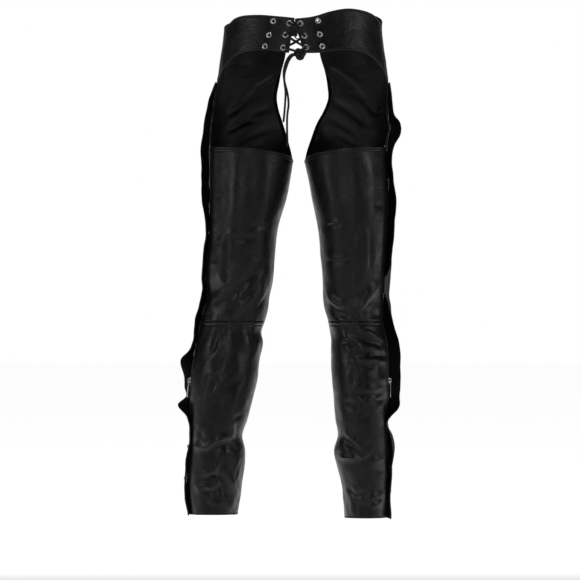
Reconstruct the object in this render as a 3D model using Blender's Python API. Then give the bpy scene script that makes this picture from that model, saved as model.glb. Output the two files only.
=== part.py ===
"""Leather riding chaps in their worn shape: two legs with side zips under storm flaps, an open seat, a yoke
laced at the centre back and a strap and ring at the centre front.

Frame: +Z up, the wearer faces -Y and the wearer's left is +X. The origin is the middle of the waist ring at
half the height of the yoke, where the wearer's waist holds the garment. Sizes and tables are in millimetres,
and are turned into metres where meshes and curves are made.

Every cloth piece lies on one of two leg surfaces. A place on a leg is its height, its angle round the leg
(0 outward, 90 back, -90 front, 180 the inseam) and its lift, the distance outward from the leather's face.
"""

import math
from dataclasses import dataclass
from typing import NamedTuple

import bmesh
import bpy
import numpy as np
from mathutils import Matrix, Vector

MM = 0.001

# Cloth
LEATHER = 2.0
LINING = 1.0
GAP = 0.3

# Leg panels
ZIP_ANGLE = math.radians(12)
ZIP_HALF_SLOT = 3.0
EDGE_FOLD = 8.0
FLAP_ROOT = (14.0, 8.0)
FLAP_MITRE = 1.35
FLAP_FREE = (6.0, 15.0, 24.0)
WAIST_SEAM = -72.0
SEAT_EDGE = -246.0
CROTCH = -277.0
KNEE_SEAM = -611.0
HEM_LIFT = 5.0
HEM_FADE = 60.0
YOKE_FADE = 100.0
SEAT_FADE = 150.0
FOLDS_SHOW = (0.3, 0.8)
FRONT_COLUMNS = 9
BACK_COLUMNS = 9
LINING_ROWS = 18

# Zip
TAPE_HALF = 9.0
TAPE_DEPTH = 2.8
ZIP_END = -752.0
SLIDER_HEIGHT = -735.0
SLIDER = (9.0, 12.0, 2.6)
CROWN_LEG = 1.9
CROWN_TUNNEL = (5.2, 2.1)
CROWN_THICK = 1.1
CROWN_WIDE = 2.4
CROWN_ROOT = 1.0
PULL_AXIS_DROP = 1.5
PULL_WIDE = 6.4
PULL_LONG = 35.0
PULL_THICK = 1.2
PULL_BAR = 1.2
PULL_EYE = (3.4, 8.0)

# Yoke, eyelets, lace
YOKE_ROWS = 4
YOKE_BACK_COLUMNS = 12
YOKE_SIDE_LOW = -115.0
LACING_MIDDLE = -20.0
EYELET_FLANGE = 5.9
EYELET_BORE = 2.75
EYELET_BARREL = 3.5
EYELET_HOLE = 3.85
EYELET_RISE = 0.75
EYELET_SEAT = 0.4
EYELET_DRILL = 4.0
EYELET_SIDES = 10
LACE = 3.6
LACE_SPACING = 4.4
TAIL_SPACING = 9.0

# The lace's path where it leaves an eyelet, as (out of the leather, towards the next stop).
LACE_TURN = ((1.8, 0.2), (3.8, 1.3), (4.2, 4.8))
LACE_LIFT = 4.2
LACE_CROSSES = 4.3

KNOT_CENTRE = Vector((-7.9, 130.0, -63.0))
KNOT_RING = 6.5
KNOT_TURN = 3.4
KNOT_CORD = 4.2
KNOT_POINTS = 30
KNOT_LEFT = (10.9, -0.5, 6.5)
KNOT_RIGHT = (-5.6, -4.8, 9.5)

# The lace's two tails, from the knot to their ends.
LONG_TAIL = (
    (3.5, 127.6, -63.0),
    (9.5, 128.2, -64.3),
    (16.0, 129.2, -70.5),
    (21.5, 129.6, -82.0),
    (25.5, 129.0, -99.0),
    (24.5, 127.5, -116.0),
    (17.5, 126.0, -145.0),
    (15.6, 125.0, -166.0),
    (18.3, 124.5, -190.0),
    (18.6, 123.5, -219.0),
    (17.5, 122.0, -253.0),
)
SHORT_TAIL = (
    (0.2, 133.5, -65.9),
    (6.5, 134.2, -66.9),
    (13.8, 135.2, -75.5),
    (20.5, 135.2, -92.0),
    (24.0, 133.6, -106.0),
    (24.0, 132.5, -120.0),
    (21.8, 131.0, -140.0),
    (22.8, 130.0, -168.0),
    (26.0, 129.0, -203.0),
)

# Snaps
SNAP_RADIUS = 5.5
SNAP_RISE = 2.4
SNAP_SIDES = 12
SNAP_SEAT = 0.4
SNAP_RIM = 0.7
SNAP_SHOULDER = (0.6, 2.1)

# Front strap and ring
STRAP_WIDE = 32.0
STRAP_HEIGHT = 15.0
STRAP_LIFT = 2.2
RING_BARS = (0.0, -28.0)
RING_TALL = 42.0
RING_WIRE = 2.0
RING_LIFT = 5.6
RING_CORNER = 4.0
LOOP_RADIUS = 3.4
STRAP_ENDS = {"left": (62.0, 40.0), "right": (-96.0, -88.0)}
STRAP_SNAPS = (-62.0, -79.0)
STRAP_UPPER = STRAP_LIFT + LEATHER + 2 * GAP

# The strap beside the ring's bar, as (distance from the bar, lift): before the loop and after it.
STRAP_NEARS = (7.0, STRAP_LIFT)
STRAP_RETURNS = ((6.0, 8.5), (14.0, 5.8), (20.0, STRAP_UPPER))
STRAP_LONG = 50.0

BLACK_LEATHER = ((0.014, 0.014, 0.015), 0.42, 0.0)
BLACK_CLOTH = ((0.004, 0.004, 0.005), 0.9, 0.0)
BLACK_CORD = ((0.006, 0.006, 0.006), 0.6, 0.0)
SILVER = ((0.75, 0.75, 0.74), 0.25, 1.0)


class Level(NamedTuple):
    """How far a leg's inner and outer sides lie from the centre plane at a height."""

    height: float
    inner: float
    outer: float


class Depth(NamedTuple):
    """Where the front and the back of both legs lie at a height."""

    height: float
    front: float
    back: float


class Rim(NamedTuple):
    """The height of an edge at an angle round the body, in degrees."""

    angle: float
    height: float


class Edge(NamedTuple):
    """How far an upright edge lies from the centre plane at a height."""

    height: float
    out: float


class Lean(NamedTuple):
    """The flap's directions at a height, where it is sewn and at its free edge, in degrees.

    0 lies back over the zip, 90 stands straight out and 180 lies forward.
    """

    height: float
    root: float
    free: float


class Span(NamedTuple):
    """A stretch of a leg and how many rows of faces it has."""

    top: float
    bottom: float
    rows: int


class Fold(NamedTuple):
    """A ridge, or with a negative rise a trough, between two places seen from the back or the front."""

    face: int
    out: float
    height: float
    end_out: float
    end_height: float
    rise: float
    width: float


BACK = 1
FRONT = -1

DEPTHS = (
    Depth(40, -112, 112),
    Depth(0, -115, 115),
    Depth(-75, -118, 121),
    Depth(-120, -118, 118),
    Depth(-174, -112, 105),
    Depth(-246, -104, 94),
    Depth(-277, -101, 91),
    Depth(-400, -94, 84),
    Depth(-500, -89, 68),
    Depth(-560, -88, 58),
    Depth(-611, -86, 55),
    Depth(-660, -82, 61),
    Depth(-740, -70, 75),
    Depth(-820, -64, 74),
    Depth(-900, -62, 66),
    Depth(-960, -66, 61),
    Depth(-1030, -74, 62),
)

LEFT_LEVELS = (
    Level(40, -181, 148),
    Level(0, -181, 151),
    Level(-40, -180, 156),
    Level(-75, -177, 161),
    Level(-120, -150, 168),
    Level(-155, -102, 174),
    Level(-187, -60, 178),
    Level(-224, -21, 181),
    Level(-254, 0, 182),
    Level(-277, 6, 182),
    Level(-313, 12, 182),
    Level(-361, 22, 182),
    Level(-403, 35, 182),
    Level(-435, 41, 183),
    Level(-483, 45, 189),
    Level(-519, 48, 191),
    Level(-550, 54, 187),
    Level(-590, 60, 195),
    Level(-611, 66, 201),
    Level(-636, 73, 206),
    Level(-653, 70, 209),
    Level(-695, 77, 217),
    Level(-737, 82, 222),
    Level(-775, 91, 223),
    Level(-817, 102, 222),
    Level(-853, 113, 221),
    Level(-880, 107, 223),
    Level(-903, 107, 226),
    Level(-942, 112, 229),
    Level(-976, 116, 228),
    Level(-1018, 123, 223),
)

RIGHT_LEVELS = (
    Level(40, -148, 181),
    Level(0, -151, 181),
    Level(-40, -150, 185),
    Level(-75, -147, 190),
    Level(-120, -125, 195),
    Level(-159, -76, 194),
    Level(-190, -41, 195),
    Level(-208, -22, 198),
    Level(-225, -6, 194),
    Level(-251, 12, 191),
    Level(-277, 18, 192),
    Level(-307, 25, 194),
    Level(-355, 34, 194),
    Level(-409, 45, 193),
    Level(-439, 49, 191),
    Level(-472, 52, 189),
    Level(-508, 55, 186),
    Level(-544, 57, 185),
    Level(-582, 60, 184),
    Level(-611, 67, 184),
    Level(-645, 74, 191),
    Level(-676, 74, 194),
    Level(-727, 75, 195),
    Level(-766, 79, 194),
    Level(-819, 83, 190),
    Level(-852, 88, 193),
    Level(-884, 80, 195),
    Level(-916, 86, 195),
    Level(-948, 95, 194),
    Level(-993, 100, 192),
    Level(-1025, 102, 190),
)

LEFT_CROTCH = (
    Edge(40, 20),
    Edge(-50, 24),
    Edge(-72, 30),
    Edge(-97, 35),
    Edge(-138, 41),
    Edge(-155, 38),
    Edge(-187, 28),
    Edge(-224, 17),
    Edge(-254, 10),
    Edge(-277, 6),
)

RIGHT_CROTCH = (
    Edge(40, 48),
    Edge(-50, 54),
    Edge(-72, 61),
    Edge(-108, 68),
    Edge(-138, 69),
    Edge(-159, 61),
    Edge(-190, 44),
    Edge(-220, 33),
    Edge(-251, 23),
    Edge(-277, 18),
)

# The back yoke's centre edges, which part below the top eyelets.
LEFT_LACING_EDGE = (Edge(30, 3.5), Edge(8, 3.5), Edge(-4, 4.4), Edge(-18, 8), Edge(-33, 11), Edge(-62, 15))
RIGHT_LACING_EDGE = (
    Edge(30, -2.5),
    Edge(8, -2.5),
    Edge(-4, -1.6),
    Edge(-18, 2.6),
    Edge(-33, 8),
    Edge(-62, 14),
)

BACK_YOKE_BOTTOM = (
    Rim(12, -115),
    Rim(18, -93),
    Rim(28, -74),
    Rim(40, -59),
    Rim(54, -52.5),
    Rim(66, -53.5),
    Rim(80, -59.5),
    Rim(98, -60),
)
FRONT_YOKE_BOTTOM = (Rim(-130, -72), Rim(-50, -72), Rim(-35, -74), Rim(-12, -92), Rim(12, -115))
SEAT_RIM = (Rim(12, -246), Rim(90, -254), Rim(140, -264), Rim(180, -275))

LEFT_YOKE_TOP = (Rim(12, -1), Rim(30, 18), Rim(54, 21.5), Rim(71, 17), Rim(90, 10.5))
RIGHT_YOKE_TOP = (
    Rim(12, 10.5),
    Rim(26, 24.5),
    Rim(44, 33),
    Rim(58, 34),
    Rim(70, 27.5),
    Rim(83, 16),
    Rim(98, 10.5),
)
LEFT_FRONT_TOP = (Rim(-110, 36), Rim(-75, 36), Rim(-50, 31), Rim(-20, 19), Rim(12, -1))
RIGHT_FRONT_TOP = (Rim(-120, 36), Rim(-80, 42), Rim(-50, 50), Rim(-20, 33), Rim(12, 10.5))

# Eyelets as (how far from the centre plane, height), the inner column first, each from the top down.
LEFT_EYELETS = ((13.8, 1.5), (22.0, -22.7), (26.6, -49.0), (47.1, 7.0), (55.8, -21.7), (64.4, -44.8))
RIGHT_EYELETS = ((8.6, 0.9), (17.0, -24.5), (20.4, -48.4), (45.1, 7.2), (48.6, -21.2), (53.6, -46.0))

LEFT_LEAN = (
    Lean(-95, 10, -2),
    Lean(-120, 18, 6),
    Lean(-150, 33, 21),
    Lean(-181, 42, 28),
    Lean(-208, 44, 30),
    Lean(-246, 55, 41),
    Lean(-277, 53, 39),
    Lean(-318, 50, 36),
    Lean(-358, 48, 32),
    Lean(-399, 30, 10),
    Lean(-439, 24, 2),
    Lean(-480, 27, 5),
    Lean(-517, 25, 1),
    Lean(-555, 35, 9),
    Lean(-574, 43, 19),
    Lean(-596, 41, 21),
    Lean(-625, 25, 3),
    Lean(-655, 29, 9),
    Lean(-682, 46, 36),
    Lean(-700, 82, 108),
    Lean(-725, 136, 166),
    Lean(-750, 148, 176),
    Lean(-775, 148, 165),
    Lean(-790, 92, 52),
    Lean(-805, 44, -6),
    Lean(-820, 14, -10),
    Lean(-850, 12, -12),
    Lean(-885, 13, -10),
    Lean(-910, 17, -5),
    Lean(-930, 19, -3),
    Lean(-975, 15, -8),
    Lean(-1018, 20, -2),
)

RIGHT_LEAN = (
    Lean(-95, 10, -2),
    Lean(-126, 18, 6),
    Lean(-154, 30, 18),
    Lean(-181, 38, 30),
    Lean(-208, 71, 71),
    Lean(-246, 43, 33),
    Lean(-277, 29, 13),
    Lean(-318, 34, 16),
    Lean(-358, 50, 36),
    Lean(-399, 42, 26),
    Lean(-439, 42, 26),
    Lean(-480, 39, 19),
    Lean(-500, 49, 9),
    Lean(-520, 66, -10),
    Lean(-555, 76, -24),
    Lean(-575, 80, -13),
    Lean(-595, 69, 9),
    Lean(-615, 57, 43),
    Lean(-640, 60, 60),
    Lean(-665, 72, 82),
    Lean(-700, 104, 112),
    Lean(-725, 106, 116),
    Lean(-750, 108, 118),
    Lean(-775, 112, 112),
    Lean(-790, 78, 62),
    Lean(-805, 38, 14),
    Lean(-820, 12, -12),
    Lean(-850, 28, 6),
    Lean(-867, 35, 15),
    Lean(-895, 28, 6),
    Lean(-925, 23, -1),
    Lean(-966, 18, -6),
    Lean(-1000, 24, 2),
    Lean(-1025, 30, 8),
)

LEFT_FOLDS = (
    Fold(BACK, 154, -440, 152, -505, 3.0, 9),
    Fold(BACK, 168, -573, 80, -505, -5.0, 13),
    Fold(BACK, 150, -528, 80, -470, 3.0, 12),
    Fold(BACK, 118, -598, 60, -545, 4.0, 11),
    Fold(BACK, 190, -575, 184, -600, 3.0, 14),
    Fold(BACK, 181, -725, 200, -850, 2.5, 13),
    Fold(BACK, 215, -876, 140, -858, 3.5, 10),
    Fold(BACK, 215, -896, 143, -876, -4.0, 10),
    Fold(BACK, 150, -925, 120, -975, 3.5, 11),
    Fold(BACK, 200, -941, 158, -941, 2.5, 8),
    Fold(BACK, 200, -968, 158, -968, 2.5, 8),
    Fold(FRONT, 165, -545, 90, -500, -3.0, 13),
    Fold(FRONT, 175, -655, 100, -690, 3.5, 12),
    Fold(FRONT, 195, -870, 130, -900, 3.5, 12),
    Fold(FRONT, 200, -900, 135, -930, -3.5, 12),
    Fold(FRONT, 150, -955, 205, -965, 3.0, 11),
)

RIGHT_FOLDS = (
    Fold(BACK, 118, -430, 118, -530, 2.0, 9),
    Fold(BACK, 66, -548, 122, -600, 5.0, 11),
    Fold(BACK, 68, -570, 105, -604, -4.0, 10),
    Fold(BACK, 174, -533, 134, -598, 4.0, 11),
    Fold(BACK, 106, -634, 184, -656, -5.0, 11),
    Fold(BACK, 126, -682, 190, -682, -3.5, 10),
    Fold(BACK, 126, -700, 188, -698, 3.0, 10),
    Fold(BACK, 103, -781, 180, -771, -4.0, 12),
    Fold(BACK, 122, -800, 134, -858, 3.0, 12),
    Fold(BACK, 98, -864, 138, -888, -4.0, 11),
    Fold(BACK, 92, -903, 150, -895, 3.5, 10),
    Fold(BACK, 115, -970, 180, -980, 3.0, 10),
    Fold(FRONT, 85, -520, 160, -560, -3.0, 13),
    Fold(FRONT, 90, -680, 165, -650, 3.5, 12),
    Fold(FRONT, 100, -885, 165, -905, 3.5, 12),
    Fold(FRONT, 110, -935, 170, -925, -3.5, 12),
    Fold(FRONT, 115, -965, 175, -985, 3.0, 11),
)


def curve_at(rows, column, place):
    """Reads a column at a place in the first column, on a smooth curve through the rows."""
    table = sorted(rows)
    keys = np.array([row[0] for row in table], float)
    values = np.array([getattr(row, column) for row in table], float)
    slopes = np.gradient(values, keys)
    row = np.clip(np.searchsorted(keys, place) - 1, 0, len(keys) - 2)
    step = keys[row + 1] - keys[row]
    part = np.clip((place - keys[row]) / step, 0, 1)
    square = part * part
    cube = square * part
    return (
        (2 * cube - 3 * square + 1) * values[row]
        + (cube - 2 * square + part) * step * slopes[row]
        + (3 * square - 2 * cube) * values[row + 1]
        + (cube - square) * step * slopes[row + 1]
    )


def fading(distance, reach):
    """1 at no distance, falling evenly to 0 at the reach."""
    return np.clip(1 - distance / reach, 0, 1)


def eased(value, low, high):
    """0 below low and 1 above high, with a soft step between them."""
    part = np.clip((value - low) / (high - low), 0, 1)
    return part * part * (3 - 2 * part)


@dataclass(frozen=True)
class Leg:
    """One leg's surface and the edges of the pieces on it."""

    name: str
    side: int
    levels: tuple
    crotch: tuple
    lacing_edge: tuple
    yoke_top: tuple
    front_top: tuple
    eyelets: tuple
    lean: tuple
    folds: tuple
    hem: float
    snap_heights: tuple

    def section(self, height):
        """The centre and the half sizes of the leg's oval at a height: out, half out, deep, half deep."""
        inner = curve_at(self.levels, "inner", height)
        outer = curve_at(self.levels, "outer", height)
        front = curve_at(DEPTHS, "front", height)
        back = curve_at(DEPTHS, "back", height)
        return (inner + outer) / 2, (outer - inner) / 2, (front + back) / 2, (back - front) / 2

    def relief(self, out, height, angle):
        """How far the folds lift the leather at a place."""
        total = np.zeros(np.broadcast(out, height, angle).shape)
        for fold in self.folds:
            run = fold.end_out - fold.out
            fall = fold.end_height - fold.height
            along = ((out - fold.out) * run + (height - fold.height) * fall) / (run**2 + fall**2)
            near = np.clip(along, 0, 1)
            away = np.hypot(out - fold.out - near * run, height - fold.height - near * fall)
            shown = eased(np.sin(angle) * fold.face, *FOLDS_SHOW)
            total = total + shown * fold.rise * np.exp(-((away / fold.width) ** 2))
        return total

    def smooth_surface(self, height, angle):
        """Points on the leg before any fold."""
        out_centre, half_out, deep_centre, half_deep = self.section(height)
        out = out_centre + half_out * np.cos(angle)
        deep = deep_centre + half_deep * np.sin(angle)
        return np.stack(np.broadcast_arrays(self.side * out, deep, height), axis=-1)

    def outward(self, height, angle):
        """The directions that point straight out of the leather, before any fold."""
        round_it = self.smooth_surface(height, angle + 0.01) - self.smooth_surface(height, angle - 0.01)
        upward = self.smooth_surface(height + 1.0, angle) - self.smooth_surface(height - 1.0, angle)
        normal = np.cross(round_it, upward) * self.side
        return normal / np.linalg.norm(normal, axis=-1, keepdims=True)

    def surface(self, height, angle, lift=0.0):
        """Points on the leg, or a lift outward from it."""
        height, angle = np.broadcast_arrays(np.asarray(height, float), np.asarray(angle, float))
        smooth = self.smooth_surface(height, angle)
        rise = lift + self.relief(self.side * smooth[..., 0], height, angle)
        return smooth + self.outward(height, angle) * rise[..., None]

    def angle_per_mm(self, height, angle):
        """The turn that one millimetre round the leg takes."""
        _, half_out, _, half_deep = self.section(height)
        return 1 / np.hypot(half_out * np.sin(angle), half_deep * np.cos(angle))

    def from_zip(self, height, distance):
        """The angle at a distance behind the middle of the zip, or before it if negative."""
        return ZIP_ANGLE + distance * self.angle_per_mm(height, ZIP_ANGLE)

    def angle_of(self, out, height, face):
        """The angle where the leg's back or front lies at a distance from the centre plane."""
        centre, half, _, _ = self.section(height)
        return face * np.arccos(np.clip((out - centre) / half, -1, 1))

    def crotch_angle(self, height, distance):
        """The angle at a distance from the front panel's inner edge."""
        edge = self.angle_of(curve_at(self.crotch, "out", height), height, FRONT)
        edge = np.where(np.asarray(height) <= CROTCH, -math.pi, edge)
        return edge + distance * self.angle_per_mm(height, edge)

    def level_heights(self):
        """The heights of the rows from the waist seam to the hem."""
        spans = (
            Span(WAIST_SEAM, -208, 5),
            Span(-208, SEAT_EDGE, 1),
            Span(SEAT_EDGE, CROTCH, 1),
            Span(CROTCH, -480, 5),
            Span(-480, KNEE_SEAM, 7),
            Span(KNEE_SEAM, -700, 5),
            Span(-700, -775, 3),
            Span(-775, -820, 3),
            Span(-820, self.hem, 9),
        )
        heights = [WAIST_SEAM]
        for span in spans:
            heights += list(np.linspace(span.top, span.bottom, span.rows + 1)[1:])
        return np.array(heights)

    def at_the_hem(self, heights, angles):
        """The same heights with the hem a little higher behind than in front."""
        return heights + HEM_LIFT * np.sin(angles) * fading(heights - self.hem, HEM_FADE)

    def frame(self, height, angle, lift=0.0):
        """The place, the outward direction and the level direction round the leg, for a piece set on it."""
        outward = Vector(self.outward(height, angle))
        level = Vector((0, 0, 1)).cross(outward).normalized()
        return Vector(self.surface(height, angle, lift)), outward, level


LEGS = (
    Leg(
        "left",
        1,
        LEFT_LEVELS,
        LEFT_CROTCH,
        LEFT_LACING_EDGE,
        LEFT_YOKE_TOP,
        LEFT_FRONT_TOP,
        LEFT_EYELETS,
        LEFT_LEAN,
        LEFT_FOLDS,
        -1018.0,
        (-880.0, -943.0, -993.0),
    ),
    Leg(
        "right",
        -1,
        RIGHT_LEVELS,
        RIGHT_CROTCH,
        RIGHT_LACING_EDGE,
        RIGHT_YOKE_TOP,
        RIGHT_FRONT_TOP,
        RIGHT_EYELETS,
        RIGHT_LEAN,
        RIGHT_FOLDS,
        -1025.0,
        (-877.0, -922.0, -979.0),
    ),
)


def finish(thing, look):
    """Gives an object its own material."""
    colour, roughness, metallic = look
    material = bpy.data.materials.new(thing.name)
    material.use_nodes = True
    shader = material.node_tree.nodes["Principled BSDF"]
    shader.inputs["Base Color"].default_value = (*colour, 1)
    shader.inputs["Roughness"].default_value = roughness
    shader.inputs["Metallic"].default_value = metallic
    thing.data.materials.append(material)
    return thing


def add_mesh(name, points, faces, look):
    """Adds a closed mesh, with points in millimetres, faces turned outward and soft shading."""
    mesh = bpy.data.meshes.new(name)
    mesh.from_pydata([Vector(point) * MM for point in points], [], faces)
    shape = bmesh.new()
    shape.from_mesh(mesh)
    bmesh.ops.recalc_face_normals(shape, faces=shape.faces)
    shape.to_mesh(mesh)
    shape.free()
    mesh.shade_smooth()
    mesh.set_sharp_from_angle(angle=math.radians(40))
    thing = bpy.data.objects.new(name, mesh)
    bpy.context.collection.objects.link(thing)
    return finish(thing, look)


def add_wall(name, outer, inner, look):
    """A closed wall between two grids of points, with a rim round their edge."""
    rows, columns = outer.shape[:2]
    points = np.concatenate([outer.reshape(-1, 3), inner.reshape(-1, 3)])
    below = rows * columns
    faces = []
    for row in range(rows - 1):
        for column in range(columns - 1):
            corner = row * columns + column
            first, second, third, fourth = corner, corner + 1, corner + columns + 1, corner + columns
            faces.append((first, second, third, fourth))
            faces.append((below + first, below + fourth, below + third, below + second))
    border = [column for column in range(columns)]
    border += [row * columns + columns - 1 for row in range(1, rows)]
    border += [(rows - 1) * columns + column for column in range(columns - 2, -1, -1)]
    border += [row * columns for row in range(rows - 2, 0, -1)]
    for start, end in zip(border, border[1:] + border[:1]):
        faces.append((end, start, below + start, below + end))
    return add_mesh(name, points, faces, look)


def add_turned(name, profile, sides, look):
    """A piece turned round its own Z axis from a closed profile of (radius, height)."""
    points = []
    for side in range(sides):
        turn = 2 * math.pi * side / sides
        points += [(r * math.cos(turn), r * math.sin(turn), h) for r, h in profile]
    faces = []
    count = len(profile)
    for side in range(sides):
        here = side * count
        there = (side + 1) % sides * count
        for corner in range(count):
            after = (corner + 1) % count
            faces.append((here + corner, there + corner, there + after, here + after))
    return add_mesh(name, points, faces, look)


def add_block(name, size, centre, look):
    """A plain box, in millimetres."""
    wide, deep, tall = (length / 2 for length in size)
    corners = [(x * wide, y * deep, z * tall) for z in (-1, 1) for y in (-1, 1) for x in (-1, 1)]
    points = [Vector(corner) + Vector(centre) for corner in corners]
    faces = [(0, 2, 3, 1), (4, 5, 7, 6), (0, 1, 5, 4), (2, 6, 7, 3), (0, 4, 6, 2), (1, 3, 7, 5)]
    return add_mesh(name, points, faces, look)


def stand_on(thing, place, outward, level):
    """Sets an object on the leg: its Z axis outward and its X axis level."""
    upright = outward.cross(level).normalized()
    turn = Matrix((level, upright, outward)).transposed().to_4x4()
    thing.matrix_world = Matrix.Translation(place * MM) @ turn
    return thing


def cut(thing, cutter, operation="DIFFERENCE"):
    """Cuts a hidden object from another, or joins it on."""
    cutter.hide_render = True
    cutter.display_type = "WIRE"
    boolean = thing.modifiers.new(cutter.name, "BOOLEAN")
    boolean.operation = operation
    boolean.object = cutter


def smooth_route(points, spacing):
    """Points about a spacing apart on a smooth curve through the route's own points."""
    route = np.array([tuple(point) for point in points], float)
    chords = np.sqrt(np.linalg.norm(np.diff(route, axis=0), axis=1))
    keys = np.concatenate([[0], np.cumsum(chords)])
    slopes = np.gradient(route, keys, axis=0)
    fine = []
    for first in range(len(route) - 1):
        step = keys[first + 1] - keys[first]
        for part in np.linspace(0, 1, 40, endpoint=False):
            square = part * part
            cube = square * part
            fine.append(
                (2 * cube - 3 * square + 1) * route[first]
                + (cube - 2 * square + part) * step * slopes[first]
                + (3 * square - 2 * cube) * route[first + 1]
                + (cube - square) * step * slopes[first + 1]
            )
    fine = np.array(fine + [route[-1]])
    along = np.concatenate([[0], np.cumsum(np.linalg.norm(np.diff(fine, axis=0), axis=1))])
    places = np.linspace(0, along[-1], max(2, round(along[-1] / spacing)) + 1)
    return np.stack([np.interp(places, along, fine[:, axis]) for axis in range(3)], axis=1)


def add_cord(name, points, thickness, look, closed=False):
    """A round cord along points in millimetres."""
    curve = bpy.data.curves.new(name, "CURVE")
    curve.dimensions = "3D"
    curve.bevel_depth = thickness / 2 * MM
    curve.bevel_resolution = 2
    curve.use_fill_caps = not closed
    spline = curve.splines.new("POLY")
    spline.points.add(len(points) - 1)
    for target, point in zip(spline.points, points):
        target.co = (*(Vector(point) * MM), 1)
    spline.use_cyclic_u = closed
    thing = bpy.data.objects.new(name, curve)
    bpy.context.collection.objects.link(thing)
    return finish(thing, look)


def front_grid(leg):
    """The heights and angles of the front leg panel, which the lining, the yoke and the flap share."""
    levels = leg.level_heights()[:, None]
    first = leg.from_zip(levels, -ZIP_HALF_SLOT)
    second = leg.from_zip(levels, -FLAP_ROOT[0])
    last = leg.crotch_angle(levels, GAP / 2)
    before_last = leg.crotch_angle(levels, EDGE_FOLD)
    shares = np.linspace(0, 1, FRONT_COLUMNS + 1)[None, :]
    angles = np.concatenate([first, second + (before_last - second) * shares, last], axis=1)
    drop = curve_at(FRONT_YOKE_BOTTOM, "height", np.degrees(angles)) - WAIST_SEAM
    heights = levels + drop * fading(WAIST_SEAM - levels, YOKE_FADE)
    return leg.at_the_hem(heights, angles), angles


def add_front_leg(leg):
    """The front leg panel, from the waist seam to the hem."""
    heights, angles = front_grid(leg)
    outer = leg.surface(heights, angles)
    inner = leg.surface(heights, angles, -LEATHER)
    add_wall(f"front_leg_{leg.name}", outer, inner, BLACK_LEATHER)


def add_lining(leg):
    """The cloth lining inside the front leg panel, to just above the knee."""
    heights, angles = front_grid(leg)
    part = (slice(0, LINING_ROWS + 1), slice(1, -1))
    outer = leg.surface(heights[part], angles[part], -LEATHER - GAP)
    inner = leg.surface(heights[part], angles[part], -LEATHER - GAP - LINING)
    add_wall(f"lining_{leg.name}", outer, inner, BLACK_CLOTH)


def back_grid(leg, top, bottom):
    """The heights and angles of the back panels, between two heights."""
    levels = leg.level_heights()
    levels = levels[(levels <= top + GAP) & (levels >= bottom - GAP)][:, None]
    levels[0] = top
    levels[-1] = bottom
    first = leg.from_zip(levels, ZIP_HALF_SLOT)
    second = leg.from_zip(levels, FLAP_ROOT[0])
    last = math.pi - GAP / 2 * leg.angle_per_mm(levels, math.pi)
    shares = np.linspace(0, 1, BACK_COLUMNS + 1)[None, :]
    angles = np.concatenate([first, second + (last - second) * shares], axis=1)
    drop = curve_at(SEAT_RIM, "height", np.degrees(angles)) - SEAT_EDGE
    heights = levels + drop * fading(SEAT_EDGE - levels, SEAT_FADE)
    return leg.at_the_hem(heights, angles), angles


def add_back_panel(name, leg, top, bottom):
    """A back panel between two heights."""
    heights, angles = back_grid(leg, top, bottom)
    outer = leg.surface(heights, angles)
    inner = leg.surface(heights, angles, -LEATHER)
    add_wall(f"{name}_{leg.name}", outer, inner, BLACK_LEATHER)


def add_zip_tape(leg):
    """The zip's tape, under the edges of the front and back panels."""
    levels = leg.level_heights()
    levels = levels[(levels <= SEAT_EDGE + GAP) & (levels > ZIP_END)]
    levels = np.append(levels, ZIP_END)[:, None]
    distances = np.array([-TAPE_HALF, 0, TAPE_HALF])[None, :]
    angles = leg.from_zip(levels, distances)
    heights = np.broadcast_to(levels, angles.shape)
    outer = leg.surface(heights, angles, -TAPE_DEPTH)
    inner = leg.surface(heights, angles, -TAPE_DEPTH - LINING)
    add_wall(f"zip_tape_{leg.name}", outer, inner, BLACK_CLOTH)


def flap_points(leg, height):
    """The flap's outer and inner points at a height, from its sewn edge to its free edge."""
    near = leg.from_zip(height, -FLAP_ROOT[0])
    hinge = leg.from_zip(height, -FLAP_ROOT[1])
    outer = [Vector(leg.surface(height, near, GAP + LEATHER))]
    inner = [Vector(leg.surface(height, near, GAP))]
    middle = Vector(leg.surface(height, hinge, GAP + LEATHER / 2))
    outward = (Vector(leg.surface(height, hinge, 1)) - Vector(leg.surface(height, hinge))).normalized()
    level = (middle - Vector(leg.surface(height, near, GAP + LEATHER / 2))).normalized()
    root = math.radians(float(curve_at(leg.lean, "root", height)))
    free = math.radians(float(curve_at(leg.lean, "free", height)))
    bend = (free - root) / FLAP_FREE[-1]
    mitre = min(FLAP_MITRE, 1 / math.cos(root / 2))
    side = (outward * math.cos(root / 2) - level * math.sin(root / 2)) * mitre
    outer.append(middle + side * LEATHER / 2)
    inner.append(middle - side * LEATHER / 2)
    place = middle
    reached = 0.0
    for reach in FLAP_FREE:
        turn = root + bend * (reached + reach) / 2
        place = place + (level * math.cos(turn) + outward * math.sin(turn)) * (reach - reached)
        turn = root + bend * reach
        side = outward * math.cos(turn) - level * math.sin(turn)
        outer.append(place + side * LEATHER / 2)
        inner.append(place - side * LEATHER / 2)
        reached = reach
    return outer, inner


def add_flap(leg):
    """The storm flap: sewn before the zip, lying or standing over it."""
    heights, _ = front_grid(leg)
    rows = [flap_points(leg, float(height)) for height in heights[:, 0]]
    outer = np.array([row[0] for row in rows])
    inner = np.array([row[1] for row in rows])
    add_wall(f"flap_{leg.name}", outer, inner, BLACK_LEATHER)
    return outer


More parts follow.
